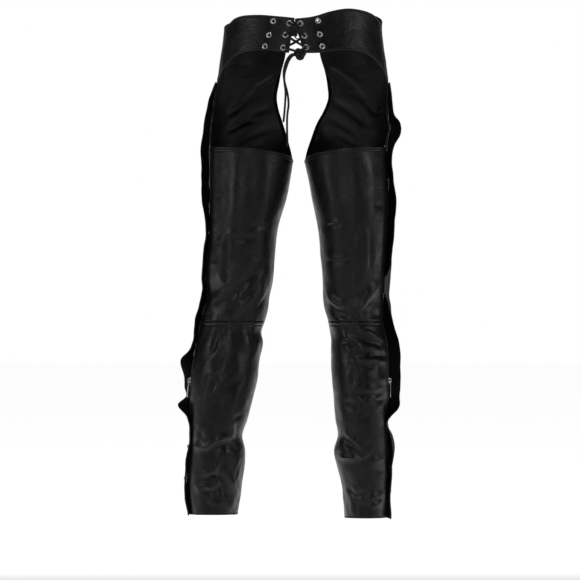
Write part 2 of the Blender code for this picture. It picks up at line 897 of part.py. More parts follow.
def add_snap(name, place, outward, level):
    """A snap's cap, a shallow dome just off the leather."""
    profile = (
        (SNAP_RADIUS, SNAP_SEAT),
        (SNAP_RADIUS, SNAP_SEAT + SNAP_RIM),
        (SNAP_RADIUS * SNAP_SHOULDER[0], SNAP_SHOULDER[1]),
    )
    rings = [
        [(r * math.cos(turn), r * math.sin(turn), h) for r, h in profile]
        for turn in (2 * math.pi * side / SNAP_SIDES for side in range(SNAP_SIDES))
    ]
    points = [point for ring in rings for point in ring] + [(0, 0, SNAP_RISE)]
    top = len(points) - 1
    faces = [tuple(side * 3 for side in reversed(range(SNAP_SIDES)))]
    for side in range(SNAP_SIDES):
        here = side * 3
        there = (side + 1) % SNAP_SIDES * 3
        faces.append((here, there, there + 1, here + 1))
        faces.append((here + 1, there + 1, there + 2, here + 2))
        faces.append((here + 2, there + 2, top))
    return stand_on(add_mesh(name, points, faces, SILVER), place, outward, level)


def add_leg_snaps(leg, flap):
    """The snaps that close the flap at the lower leg, each in the middle of one of the flap's faces."""
    column = len(FLAP_FREE) - 1
    for number, height in enumerate(leg.snap_heights, start=1):
        centres = (flap[:-1, column, 2] + flap[1:, column, 2]) / 2
        row = int(np.argmin(abs(centres - height)))
        corners = [Vector(flap[row + i, column + j]) for i in (0, 1) for j in (0, 1)]
        place = sum(corners, Vector()) / 4
        outward = (corners[3] - corners[0]).cross(corners[2] - corners[1]).normalized()
        if outward.x * leg.side < 0:
            outward.negate()
        level = (corners[1] - corners[0]).normalized()
        level = (level - outward * level.dot(outward)).normalized()
        add_snap(f"snap_{leg.name}_{number}", place, outward, level)


def add_zip_slider(leg):
    """The slider at the zip's lower end, with a crown over its face, and the pull tab that hangs on it."""
    place, outward, level = leg.frame(SLIDER_HEIGHT, ZIP_ANGLE)
    wide, tall, thick = SLIDER
    slider = add_block(f"zip_slider_{leg.name}", SLIDER, (0, 0, GAP + thick / 2), SILVER)
    top = GAP + thick
    hollow, rise = CROWN_TUNNEL
    crown_size = (CROWN_WIDE, hollow + 2 * CROWN_LEG, rise + CROWN_THICK + CROWN_ROOT)
    crown_middle = (0, 0, top + (rise + CROWN_THICK - CROWN_ROOT) / 2)
    crown = add_block(f"crown_{leg.name}", crown_size, crown_middle, SILVER)
    tunnel = add_block(f"tunnel_{leg.name}", (wide, hollow, rise), (0, 0, top + rise / 2), SILVER)
    for piece in (slider, crown, tunnel):
        stand_on(piece, place, outward, level)
    cut(slider, crown, "UNION")
    cut(slider, tunnel)

    pivot_rise = top + rise / 2
    upright = outward.cross(level)
    pivot = place + outward * pivot_rise - upright * PULL_AXIS_DROP
    eye_wide, eye_long = PULL_EYE
    plate_size = (PULL_WIDE, PULL_LONG, PULL_THICK)
    plate = add_block(f"zip_pull_{leg.name}", plate_size, (0, PULL_BAR / 2 - PULL_LONG / 2, 0), SILVER)
    eye_size = (eye_wide, eye_long, 3 * PULL_THICK)
    eye = add_block(f"pull_eye_{leg.name}", eye_size, (0, -PULL_BAR / 2 - eye_long / 2, 0), SILVER)
    for piece in (plate, eye):
        stand_on(piece, pivot, outward, level)
    cut(plate, eye)


def add_front_yoke(leg):
    """The front half of the yoke, from the side seam to the centre front."""
    _, panel_angles = front_grid(leg)
    below = np.concatenate([[leg.from_zip(YOKE_SIDE_LOW, -GAP / 2)], panel_angles[0]])
    shares = (below - below[0]) / (below[-1] - below[0])
    top = curve_at(leg.front_top, "height", np.degrees(below))
    bottom = curve_at(FRONT_YOKE_BOTTOM, "height", np.degrees(below)) + GAP
    parts = np.linspace(0, 1, YOKE_ROWS + 1)[:, None]
    heights = bottom + (top - bottom) * parts
    ends = leg.crotch_angle(heights[:, -1:], GAP / 2)
    angles = below[0] + shares * (ends - below[0])
    outer = leg.surface(heights, angles)
    inner = leg.surface(heights, angles, -LEATHER)
    add_wall(f"front_yoke_{leg.name}", outer, inner, BLACK_LEATHER)


def add_back_yoke(leg):
    """The back half of the yoke, from the side seam to the lacing, with its eyelet holes."""
    first = leg.from_zip(YOKE_SIDE_LOW, GAP / 2)
    middle = leg.angle_of(curve_at(leg.lacing_edge, "out", LACING_MIDDLE), LACING_MIDDLE, BACK)
    below = np.linspace(first, middle, YOKE_BACK_COLUMNS + 1)
    parts = np.linspace(0, 1, YOKE_ROWS + 1)[:, None]
    angles = np.repeat(below[None, :], YOKE_ROWS + 1, axis=0)
    for _ in range(3):
        top = curve_at(leg.yoke_top, "height", np.degrees(angles))
        bottom = curve_at(BACK_YOKE_BOTTOM, "height", np.degrees(angles))
        heights = bottom + (top - bottom) * parts
        edge = leg.angle_of(curve_at(leg.lacing_edge, "out", heights[:, -1:]), heights[:, -1:], BACK)
        angles = first + (edge - first) * np.linspace(0, 1, YOKE_BACK_COLUMNS + 1)
    outer = leg.surface(heights, angles)
    inner = leg.surface(heights, angles, -LEATHER)
    yoke = add_wall(f"back_yoke_{leg.name}", outer, inner, BLACK_LEATHER)
    for number, (out, height) in enumerate(leg.eyelets, start=1):
        frame = leg.frame(height, leg.angle_of(out, height, BACK), -LEATHER / 2)
        cutter = add_pin(f"hole_{leg.name}_{number}", EYELET_HOLE, EYELET_DRILL)
        stand_on(cutter, *frame)
        cut(yoke, cutter)
        add_eyelet(f"eyelet_{leg.name}_{number}", frame)


def add_pin(name, radius, reach):
    """A solid round bar that reaches as far up as down, for cutting holes."""
    points = []
    for side in range(EYELET_SIDES):
        turn = 2 * math.pi * side / EYELET_SIDES
        points.append((radius * math.cos(turn), radius * math.sin(turn), -reach))
        points.append((radius * math.cos(turn), radius * math.sin(turn), reach))
    count = 2 * EYELET_SIDES
    faces = [tuple(range(0, count, 2)), tuple(range(1, count, 2))]
    faces += [(i, (i + 2) % count, (i + 3) % count, i + 1) for i in range(0, count, 2)]
    return add_mesh(name, points, faces, BLACK_LEATHER)


def add_eyelet(name, frame):
    """A metal eyelet: a barrel through the leather with a flange on each face."""
    face = LEATHER / 2 + EYELET_SEAT
    crest = LEATHER / 2 + EYELET_RISE
    profile = (
        (EYELET_FLANGE, face),
        (EYELET_BORE, crest),
        (EYELET_BORE, -crest),
        (EYELET_FLANGE, -face),
        (EYELET_BARREL, -face),
        (EYELET_BARREL, face),
    )
    stand_on(add_turned(name, profile, EYELET_SIDES, SILVER), *frame)


def lace_stop(leg, number):
    """The middle of an inner eyelet and its outward direction."""
    out, height = leg.eyelets[number]
    place, outward, _ = leg.frame(height, leg.angle_of(out, height, BACK), -LEATHER / 2)
    return place, outward


def hole_turn(stop, towards, side):
    """Route points that leave a hole on one side of the leather and bend over towards a place."""
    place, outward = stop
    along = towards - place
    along = (along - outward * along.dot(outward)).normalized()
    return [place + outward * side * out + along * reach for out, reach in LACE_TURN]


def add_lace():
    """The lace: its crossings over the gap, its knot and its two free tails."""
    left, right = LEGS
    stops = {"left": [lace_stop(left, n) for n in range(3)], "right": [lace_stop(right, n) for n in range(3)]}
    knot_left = KNOT_CENTRE + Vector(KNOT_LEFT)
    knot_right = KNOT_CENTRE + Vector(KNOT_RIGHT)
    legs = (
        (None, stops["right"][2], 1),
        (stops["right"][2], stops["left"][1], -1),
        (stops["left"][1], stops["right"][0], 1),
        (stops["right"][0], stops["left"][0], -1),
        (stops["left"][0], stops["right"][1], 1),
        (stops["right"][1], stops["left"][2], -1),
        (stops["left"][2], None, 1),
    )
    over = (0.0, 0.0, 0.0, 0.0, LACE_CROSSES, LACE_CROSSES, 0.0)
    route = []
    for (start, end, side), lift in zip(legs, over):
        if start is None:
            route.append(knot_right)
            route += reversed(hole_turn(end, knot_right, side))
            continue
        if end is None:
            route += hole_turn(start, knot_left, side)
            route.append(knot_left)
            continue
        route += hole_turn(start, end[0], side)
        middle = (start[0] + end[0]) / 2 + (start[1] + end[1]) / 2 * side * (LACE_LIFT + lift)
        route.append(middle)
        route += reversed(hole_turn(end, start[0], side))
    add_cord("lace_crossing", smooth_route(route, LACE_SPACING), LACE, BLACK_CORD)

    knot = []
    for step in range(KNOT_POINTS):
        turn = 2 * math.pi * step / KNOT_POINTS
        reach = KNOT_RING + KNOT_TURN * math.cos(3 * turn)
        round_it = 2 * turn - math.pi / 2
        offset = (reach * math.cos(round_it), KNOT_TURN * math.sin(3 * turn), reach * math.sin(round_it))
        knot.append(KNOT_CENTRE + Vector(offset))
    add_cord("lace_knot", knot, KNOT_CORD, BLACK_CORD, closed=True)

    add_cord("lace_tail_long", smooth_route(LONG_TAIL, TAIL_SPACING), LACE, BLACK_CORD)
    add_cord("lace_tail_short", smooth_route(SHORT_TAIL, TAIL_SPACING), LACE, BLACK_CORD)


def front_place(across, height, lift):
    """A place on the front of the waist, a distance across from the centre plane and a lift outward."""
    leg = LEGS[0]
    return leg.surface(height, leg.angle_of(across, STRAP_HEIGHT, FRONT), lift)


def strap_route(side, bar):
    """One strap's middle line, as (across, lift): flat, round the ring's bar and back on itself."""
    start, end = STRAP_ENDS[side]
    away = 1 if start > bar else -1
    near, lift = STRAP_NEARS
    route = [(start, STRAP_LIFT), ((start + bar) / 2, STRAP_LIFT), (bar + away * near, lift)]
    for turn in range(-90, 91, 30):
        angle = math.radians(turn)
        route.append((bar - away * LOOP_RADIUS * math.cos(angle), RING_LIFT + LOOP_RADIUS * math.sin(angle)))
    route += [(bar + away * distance, lift) for distance, lift in STRAP_RETURNS]
    if abs(end - bar) > STRAP_LONG:
        route.append(((route[-1][0] + end) / 2, STRAP_UPPER))
    route.append((end, STRAP_UPPER))
    return route


def add_strap(side, bar):
    """A strap folded round the ring."""
    route = np.array(strap_route(side, bar))
    course = np.gradient(route, axis=0)
    course /= np.linalg.norm(course, axis=1)[:, None]
    normal = np.stack([-course[:, 1], course[:, 0]], axis=1)
    edges = (STRAP_HEIGHT - STRAP_WIDE / 2, STRAP_HEIGHT + STRAP_WIDE / 2)
    grids = []
    for offset in (LEATHER / 2, -LEATHER / 2):
        line = route + normal * offset
        grids.append(np.array([[front_place(across, edge, lift) for edge in edges] for across, lift in line]))
    add_wall(f"front_strap_{side}", *grids, BLACK_LEATHER)


def add_front_closure():
    """Two straps that meet in a plain ring, the right one folded back and held by snaps."""
    for side, bar in zip(("left", "right"), RING_BARS):
        add_strap(side, bar)
    half_wide = abs(RING_BARS[0] - RING_BARS[1]) / 2
    centre = sum(RING_BARS) / 2
    ring = []
    for across, tall, start in ((1, 1, 0), (-1, 1, 90), (-1, -1, 180), (1, -1, 270)):
        for turn in (0, 30, 60, 90):
            angle = math.radians(start + turn)
            x = centre + across * (half_wide - RING_CORNER) + RING_CORNER * math.cos(angle)
            z = STRAP_HEIGHT + tall * (RING_TALL / 2 - RING_CORNER) + RING_CORNER * math.sin(angle)
            ring.append(front_place(x, z, RING_LIFT))
    add_cord("front_ring", ring, 2 * RING_WIRE, SILVER, closed=True)
    face = STRAP_UPPER + LEATHER / 2
    for number, across in enumerate(STRAP_SNAPS, start=1):
        place = Vector(front_place(across, STRAP_HEIGHT, face))
        beside = Vector(front_place(across + SNAP_RADIUS, STRAP_HEIGHT, face)) - place
        above = Vector(front_place(across, STRAP_HEIGHT + SNAP_RADIUS, face)) - place
        outward = above.cross(beside).normalized()
        if outward.y > 0:
            outward.negate()
        add_snap(f"snap_front_{number}", place, outward, beside.normalized())


def main():
    for thing in list(bpy.data.objects):
        bpy.data.objects.remove(thing, do_unlink=True)
    for leg in LEGS:
        add_front_yoke(leg)
        add_back_yoke(leg)
        add_front_leg(leg)
        add_lining(leg)
        add_back_panel("back_thigh", leg, SEAT_EDGE, KNEE_SEAM + GAP / 2)
        add_back_panel("back_calf", leg, KNEE_SEAM - GAP / 2, leg.hem)
        add_zip_tape(leg)
        add_zip_slider(leg)
        add_leg_snaps(leg, add_flap(leg))
    add_lace()
    add_front_closure()


main()
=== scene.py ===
"""Leather chaps: a laced yoke, an open seat, and zipped legs under storm flaps.

Frame: +Z up, the wearer faces -Y and the wearer's left is +X. Sizes and tables are in millimetres and are
turned into metres where meshes are made. A place on a leg is its height, its angle round the leg (0 outward,
90 back, -90 front, 180 the inseam) and its lift, the distance outward from the leather's face.
"""

import logging
import math
from collections.abc import Sequence
from dataclasses import dataclass, field
from enum import Enum
from functools import cached_property
from typing import NamedTuple

import bmesh
import bpy
import numpy as np
from mathutils import Matrix, Vector


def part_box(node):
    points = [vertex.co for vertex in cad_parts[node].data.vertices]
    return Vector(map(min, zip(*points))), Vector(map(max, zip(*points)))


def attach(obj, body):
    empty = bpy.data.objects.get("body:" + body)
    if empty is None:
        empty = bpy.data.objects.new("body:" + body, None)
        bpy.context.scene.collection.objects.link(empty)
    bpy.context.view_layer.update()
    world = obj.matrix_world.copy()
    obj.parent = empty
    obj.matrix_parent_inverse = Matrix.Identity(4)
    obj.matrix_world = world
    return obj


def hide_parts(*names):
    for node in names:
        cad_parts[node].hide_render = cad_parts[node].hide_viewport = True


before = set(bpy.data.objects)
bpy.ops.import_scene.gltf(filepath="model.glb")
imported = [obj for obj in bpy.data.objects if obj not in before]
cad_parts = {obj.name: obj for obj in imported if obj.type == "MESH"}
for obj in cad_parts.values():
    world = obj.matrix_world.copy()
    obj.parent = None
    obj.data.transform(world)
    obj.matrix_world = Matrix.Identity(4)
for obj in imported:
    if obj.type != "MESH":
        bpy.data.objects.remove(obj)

LOG = logging.getLogger("chaps")
MM = 0.001
FAR = 1000.0

# Leather, cloth and the gap between pieces
LEATHER = 2.0
LINING = 1.0
GAP = 0.3

# Heights of seams and edges, and places across a leg
WAIST_SEAM = -72.0
SEAT_EDGE = -246.0
CROTCH = -277.0
KNEE_SEAM = -611.0
ZIP_ANGLE = math.radians(12)
ZIP_HALF_SLOT = 3.0
EDGE_FOLD = 8.0
FLAP_ROOT = (14.0, 8.0)
FRONT_WIDE = 330.0

# Rows of stitches: how far in they lie, how high, and what they keep clear of
SEWN_ROW = 3.0
HEM_STEPS = 90
STITCH_SUNK = 0.12
STITCH_PROUD = 0.2
END_CLEAR = 8.0
ZIP_CLEAR = 6.0

# Fineness of the meshes, and the angles in degrees above which they have sharp edges
CELL = 4.5
LINE_STEPS = 24
EYELET_SIDES = 48
TUBE_SIDES = 14
WALL_SHARP = 50.0
METAL_SHARP = 45.0

# Creases' ends and reach, and the lace's braid
CREASE_FADE = 0.6
CREASE_REACH = 3.0
BRAID_STRANDS = 4
BRAID_PITCH = 1.1

Points = np.ndarray
Amount = Points | float
Place = tuple[float, float]
Colour = tuple[float, float, float]
Socket = bpy.types.NodeSocket
Material = bpy.types.Material
Piece = bpy.types.Object

BACK = 1
FRONT = -1


class Level(NamedTuple):
    """How far a leg's inner and outer sides lie from the centre plane at a height."""

    height: float
    inner: float
    outer: float


class Depth(NamedTuple):
    """Where the front and the back of both legs lie at a height."""

    height: float
    front: float
    back: float


class Rim(NamedTuple):
    """The height of an edge at an angle round the body, in degrees."""

    angle: float
    height: float


class Edge(NamedTuple):
    """How far an upright edge lies from the centre plane at a height."""

    height: float
    out: float


class Lean(NamedTuple):
    """The flap's directions at a height, at its sewn edge and its free edge, in degrees.

    0 lies back over the zip, 90 stands straight out and 180 lies forward.
    """

    height: float
    root: float
    free: float


class FlapHighlight(NamedTuple):
    """How far out on the flap, as a share of its width, it is painted pale at a height, as painted light."""

    height: float
    share: float


class Profile(NamedTuple):
    """How the leather stands near an edge: its lifts at places in from the edge."""

    places: tuple[float, ...]
    lifts: tuple[float, ...]


TURNED = Profile(
    (0.0, 0.4, 1.1, 2.2, 3.3, 3.9, 4.5, 5.2, 6.6, 9.0),
    (-0.9, -0.2, 0.35, 0.65, 0.4, -0.4, -0.4, 0.2, 0.1, 0.0),
)
HEMMED = Profile((0.0, 1.5, 4.0), (0.0, 0.0, 0.0))
TWICE_SEWN = Profile(
    (0.0, 0.4, 1.1, 2.2, 3.3, 3.9, 4.5, 5.3, 6.8, 8.2, 8.9, 9.5, 10.5, 13.0),
    (-0.9, -0.2, 0.4, 0.7, 0.5, -0.45, -0.45, 0.5, 0.8, 0.5, -0.45, -0.45, 0.25, 0.0),
)
SEWN = Profile((0.0, 0.5, 1.4, 3.0, 6.0), (-0.8, -0.35, -0.1, 0.05, 0.0))
LAPPED = Profile(
    (0.0, 0.5, 1.4, 3.2, 5.6, 7.4, 8.2, 8.9, 10.0, 12.5),
    (-1.3, -0.3, 0.7, 1.2, 1.05, 0.3, -0.8, -0.8, 0.25, 0.0),
)
TURNED_ROW = 4.2


def rows_of(kind: type[NamedTuple], *rows: tuple[float, ...]) -> tuple[NamedTuple, ...]:
    """A table whose rows have the named columns of a kind."""
    return tuple(kind(*row) for row in rows)


DEPTHS = rows_of(
    Depth,
    (40, -112, 112), (0, -115, 115), (-75, -118, 121), (-120, -118, 118), (-174, -112, 105),
    (-246, -104, 94), (-277, -101, 91), (-400, -94, 84), (-500, -89, 68), (-560, -88, 58), (-611, -86, 55),
    (-660, -82, 61), (-740, -70, 75), (-820, -64, 74), (-900, -62, 66), (-960, -66, 61), (-1030, -74, 62),
)

LEFT_LEVELS = rows_of(
    Level,
    (40, -181, 148), (0, -181, 151), (-40, -180, 156), (-75, -177, 161), (-120, -150, 168),
    (-155, -102, 174), (-187, -60, 178), (-224, -21, 181), (-254, 0, 182), (-277, 6, 182), (-313, 12, 182),
    (-361, 22, 182), (-403, 35, 182), (-435, 41, 183), (-483, 45, 189), (-519, 48, 191), (-550, 54, 187),
    (-590, 60, 195), (-611, 66, 201), (-636, 73, 206), (-653, 70, 209), (-695, 77, 217), (-737, 82, 222),
    (-775, 91, 223), (-817, 102, 222), (-853, 113, 221), (-880, 107, 223), (-903, 107, 226),
    (-942, 112, 229), (-976, 116, 228), (-1018, 123, 223),
)

RIGHT_LEVELS = rows_of(
    Level,
    (40, -148, 181), (0, -151, 181), (-40, -150, 185), (-75, -147, 190), (-120, -125, 195), (-159, -76, 194),
    (-190, -41, 195), (-208, -22, 198), (-225, -6, 194), (-251, 12, 191), (-277, 18, 192), (-307, 25, 194),
    (-355, 34, 194), (-409, 45, 193), (-439, 49, 191), (-472, 52, 189), (-508, 55, 186), (-544, 57, 185),
    (-582, 60, 184), (-611, 67, 184), (-645, 74, 191), (-676, 74, 194), (-727, 75, 195), (-766, 79, 194),
    (-819, 83, 190), (-852, 88, 193), (-884, 80, 195), (-916, 86, 195), (-948, 95, 194), (-993, 100, 192),
    (-1025, 102, 190),
)

LEFT_CROTCH = rows_of(
    Edge,
    (40, 20), (-50, 24), (-72, 30), (-97, 35), (-138, 41), (-155, 38), (-187, 28), (-224, 17), (-254, 10),
    (-277, 6),
)

RIGHT_CROTCH = rows_of(
    Edge,
    (40, 48), (-50, 54), (-72, 61), (-108, 68), (-138, 69), (-159, 61), (-190, 44), (-220, 33), (-251, 23),
    (-277, 18),
)

RIGHT_LACING_EDGE = rows_of(Edge, (30, -2.5), (8, -2.5), (-4, -1.6), (-18, 2.6), (-33, 8), (-62, 14))

BACK_YOKE_BOTTOM = rows_of(
    Rim,
    (12, -115), (18, -93), (28, -74), (40, -59), (54, -52.5), (66, -53.5), (80, -59.5), (98, -60),
)

RIGHT_YOKE_TOP = rows_of(Rim, (12, 10.5), (26, 24.5), (44, 33), (58, 34), (70, 27.5), (83, 16), (98, 10.5))

LEFT_LEAN = rows_of(
    Lean,
    (-95, 10, -2), (-120, 18, 6), (-150, 33, 21), (-181, 42, 28), (-208, 44, 30), (-246, 55, 41),
    (-277, 53, 39), (-318, 50, 36), (-358, 48, 32), (-399, 30, 10), (-439, 24, 2), (-480, 27, 5),
    (-517, 25, 1), (-555, 35, 9), (-574, 43, 19), (-596, 41, 21), (-625, 25, 3), (-655, 29, 9),
    (-682, 46, 36), (-700, 82, 108), (-725, 136, 166), (-750, 148, 176), (-775, 148, 165), (-790, 92, 52),
    (-805, 44, -6), (-820, 14, -10), (-850, 12, -12), (-885, 13, -10), (-910, 17, -5), (-930, 19, -3),
    (-975, 15, -8), (-1018, 20, -2),
)

RIGHT_LEAN = rows_of(
    Lean,
    (-95, 10, -2), (-126, 18, 6), (-154, 30, 18), (-181, 38, 30), (-208, 71, 71), (-246, 43, 33),
    (-277, 29, 13), (-318, 34, 16), (-358, 50, 36), (-399, 42, 26), (-439, 42, 26), (-480, 39, 19),
    (-500, 49, 9), (-520, 66, -10), (-555, 76, -24), (-575, 80, -13), (-595, 69, 9), (-615, 57, 43),
    (-640, 60, 60), (-665, 72, 82), (-700, 104, 112), (-725, 106, 116), (-750, 108, 118), (-775, 112, 112),
    (-790, 78, 62), (-805, 38, 14), (-820, 12, -12), (-850, 28, 6), (-867, 35, 15), (-895, 28, 6),
    (-925, 23, -1), (-966, 18, -6), (-1000, 24, 2), (-1025, 30, 8),
)

LONG_TAIL = (
    (3.5, 127.6, -63.0), (9.5, 128.2, -64.3), (16.0, 129.2, -70.5), (21.5, 129.6, -82.0),
    (25.5, 129.0, -99.0), (24.5, 127.5, -116.0), (17.5, 126.0, -145.0), (15.6, 125.0, -166.0),
    (18.3, 124.5, -190.0), (18.6, 123.5, -219.0), (17.5, 122.0, -253.0),
)

SHORT_TAIL = (
    (0.2, 133.5, -65.9), (6.5, 134.2, -66.9), (13.8, 135.2, -75.5), (20.5, 135.2, -92.0),
    (24.0, 133.6, -106.0), (24.0, 132.5, -120.0), (21.8, 131.0, -140.0), (22.8, 130.0, -168.0),
    (26.0, 129.0, -203.0),
)
LEFT_LACING_EDGE = rows_of(Edge, (30, 3.5), (8, 3.5), (-4, 4.4), (-18, 8), (-33, 11), (-62, 15))
FRONT_YOKE_BOTTOM = rows_of(Rim, (-130, -72), (-50, -72), (-35, -74), (-12, -92), (12, -115))
SEAT_RIM = rows_of(Rim, (12, -246), (90, -254), (140, -264), (180, -275))
LEFT_YOKE_TOP = rows_of(Rim, (12, -1), (30, 18), (54, 21.5), (71, 17), (90, 10.5))
LEFT_FRONT_TOP = rows_of(Rim, (-110, 36), (-75, 36), (-50, 31), (-20, 19), (12, -1))
RIGHT_FRONT_TOP = rows_of(Rim, (-120, 36), (-80, 42), (-50, 50), (-20, 33), (12, 10.5))
LEFT_EYELETS = ((13.8, 1.5), (22.0, -22.7), (26.6, -49.0), (47.1, 7.0), (55.8, -21.7), (64.4, -44.8))
RIGHT_EYELETS = ((8.6, 0.9), (17.0, -24.5), (20.4, -48.4), (45.1, 7.2), (48.6, -21.2), (53.6, -46.0))


@dataclass(frozen=True)
class Crease:
    """A ridge, or with a negative rise a trough, along a line seen from the back or the front.

    The lean makes one side of it steeper, from -1 to 1.
    """

    face: int
    line: tuple[Place, ...]
    rise: float
    width: float
    lean: float = 0.0

    @cached_property
    def smooth(self) -> Points:
        """Close points along the crease."""
        return smooth_line(np.array(self.line, float))

    def rise_at(self, out: Points, height: Points) -> Points:
        """How far the crease lifts the leather at places in its own view."""
        line = self.smooth
        reach = CREASE_REACH * self.width
        low, high = line.min(axis=0) - reach, line.max(axis=0) + reach
        out, height = np.broadcast_arrays(out, height)
        total = np.zeros(out.shape)
        near = (out > low[0]) & (out < high[0]) & (height > low[1]) & (height < high[1])
        if near.any():
            total[near] = self.rise_near(line, out[near], height[near])
        return total

    def rise_near(self, line: Points, out: Points, height: Points) -> Points:
        """The lift at places close to the crease's line."""
        steps = np.linalg.norm(np.diff(line, axis=0), axis=1)
        run = np.concatenate([[0.0], np.cumsum(steps)])
        away = np.full(out.shape, FAR)
        side = np.zeros(out.shape)
        along = np.zeros(out.shape)
        for first, second, start, step in zip(line, line[1:], run, steps):
            course = (second - first) / step
            reach = (out - first[0]) * course[0] + (height - first[1]) * course[1]
            reach = np.clip(reach, 0, step)
            across = out - first[0] - reach * course[0]
            upward = height - first[1] - reach * course[1]
            distance = np.hypot(across, upward)
            nearer = distance < away
            away = np.where(nearer, distance, away)
            side = np.where(nearer, course[0] * upward - course[1] * across, side)
            along = np.where(nearer, (start + reach) / run[-1], along)
        width = self.width * (1 + self.lean * np.clip(side / self.width, -1, 1))
        fade = 1 - CREASE_FADE * (2 * along - 1) ** 4
        return self.rise * fade * np.exp(-((away / width) ** 2))


def creases(face: int, *rows: tuple) -> tuple[Crease, ...]:
    """Creases seen from one side; a row is a line of (out, height), a rise, a width and perhaps a lean."""
    return tuple(Crease(face, *row) for row in rows)


LEFT_CREASES = creases(
    BACK,
    (((124, -274), (126, -340), (128, -406)), 1.2, 13),
    (((60, -282), (62, -340), (66, -391)), 1.4, 12),
    (((145, -262), (147, -329), (149, -391)), -0.8, 9),
    (((93, -274), (93, -340), (95, -406)), -1.4, 12),
    (((171, -262), (174, -340), (176, -426)), 1.0, 8),
    (((97, -419), (81, -415), (64, -413)), -2.2, 6),
    (((95, -427), (66, -424)), 1.4, 6),
    (((130, -442), (106, -441), (83, -437)), -2.6, 6.5),
    (((145, -431), (118, -427)), 1.2, 5),
    (((154, -441), (153, -478), (156, -500), (157, -517), (150, -529), (139, -537)), 2.6, 6),
    (((144, -441), (145, -478), (147, -505)), -2.4, 6),
    (((115, -470), (124, -500), (130, -523), (136, -538), (148, -551), (164, -567),
      (168, -572)), 3.4, 6.5, 0.35),
    (((69, -500), (89, -516), (106, -531), (124, -546), (136, -561), (158, -576)), -5.0, 9.5),
    (((69, -541), (94, -566), (115, -585), (133, -599)), 3.8, 8),
    (((56, -538), (71, -558), (83, -576)), 2.6, 4.5),
    (((173, -554), (173, -585)), 1.8, 5),
    (((186, -573), (190, -600)), 3.2, 10),
    (((188, -490), (166, -493)), 1.0, 4),
    (((100, -470), (77, -478)), -1.6, 6),
    (((148, -626), (163, -636), (167, -650), (174, -673)), -2.6, 6),
    (((156, -644), (158, -664), (165, -679)), 1.6, 6.5),
    (((116, -638), (100, -634)), 1.5, 6),
    (((169, -717), (178, -727), (179, -740), (183, -760), (186, -780), (190, -797), (201, -827), (209, -846),
      (218, -864)), 2.8, 6.5),
    (((167, -727), (172, -746), (176, -759)), -2.0, 5),
    (((158, -742), (167, -761)), 1.6, 5.5),
    (((121, -760), (129, -780), (133, -794), (136, -813), (135, -825), (140, -846)), 2.6, 9),
    (((113, -732), (140, -747), (161, -774), (175, -800), (186, -832)), -2.2, 12),
    (((110, -807), (131, -813)), -2.0, 5),
    (((212, -874), (193, -873), (185, -874), (174, -866), (161, -859), (149, -854),
      (135, -850)), 4.2, 6, -0.35),
    (((182, -882), (168, -874), (145, -868), (127, -871), (114, -882)), -4.2, 10),
    (((199, -840), (195, -857)), -2.0, 5),
    (((162, -908), (174, -925), (192, -930)), 2.8, 5.5),
    (((196, -940), (185, -934), (163, -934), (154, -939)), -3.2, 5),
    (((176, -938), (168, -945), (152, -946)), 1.8, 3.6),
    (((198, -955), (179, -956), (168, -950)), 2.2, 4.2),
    (((192, -963), (168, -965), (160, -957)), -2.4, 4.6),
    (((182, -978), (174, -986), (164, -988)), 1.6, 4.2),
    (((149, -918), (143, -934), (136, -946), (127, -960), (120, -974), (118, -984)), 4.4, 5.2, -0.3),
    (((114, -893), (127, -919), (131, -935)), 2.2, 3.8),
    (((110, -902), (119, -923), (123, -942)), 2.2, 3.6),
    (((156, -911), (158, -932), (147, -959), (137, -980)), -3.2, 7.5),
    (((146, -985), (132, -1006)), 1.6, 6),
    (((211, -948), (198, -965)), 1.6, 5),
    (((122, -823), (120, -857)), -1.8, 6),
) + creases(
    FRONT,
    (((165, -545), (128, -520), (90, -500)), -3.0, 13),
    (((88, -560), (120, -578), (160, -600)), 2.6, 9),
    (((175, -655), (138, -668), (100, -690)), 3.5, 12),
    (((110, -720), (150, -738), (192, -742)), -2.2, 9),
    (((195, -870), (162, -880), (130, -900)), 3.5, 11),
    (((200, -900), (168, -908), (135, -930)), -3.5, 10),
    (((150, -955), (178, -958), (205, -965)), 3.0, 9),
    (((140, -985), (170, -992), (200, -988)), -2.0, 7),
)
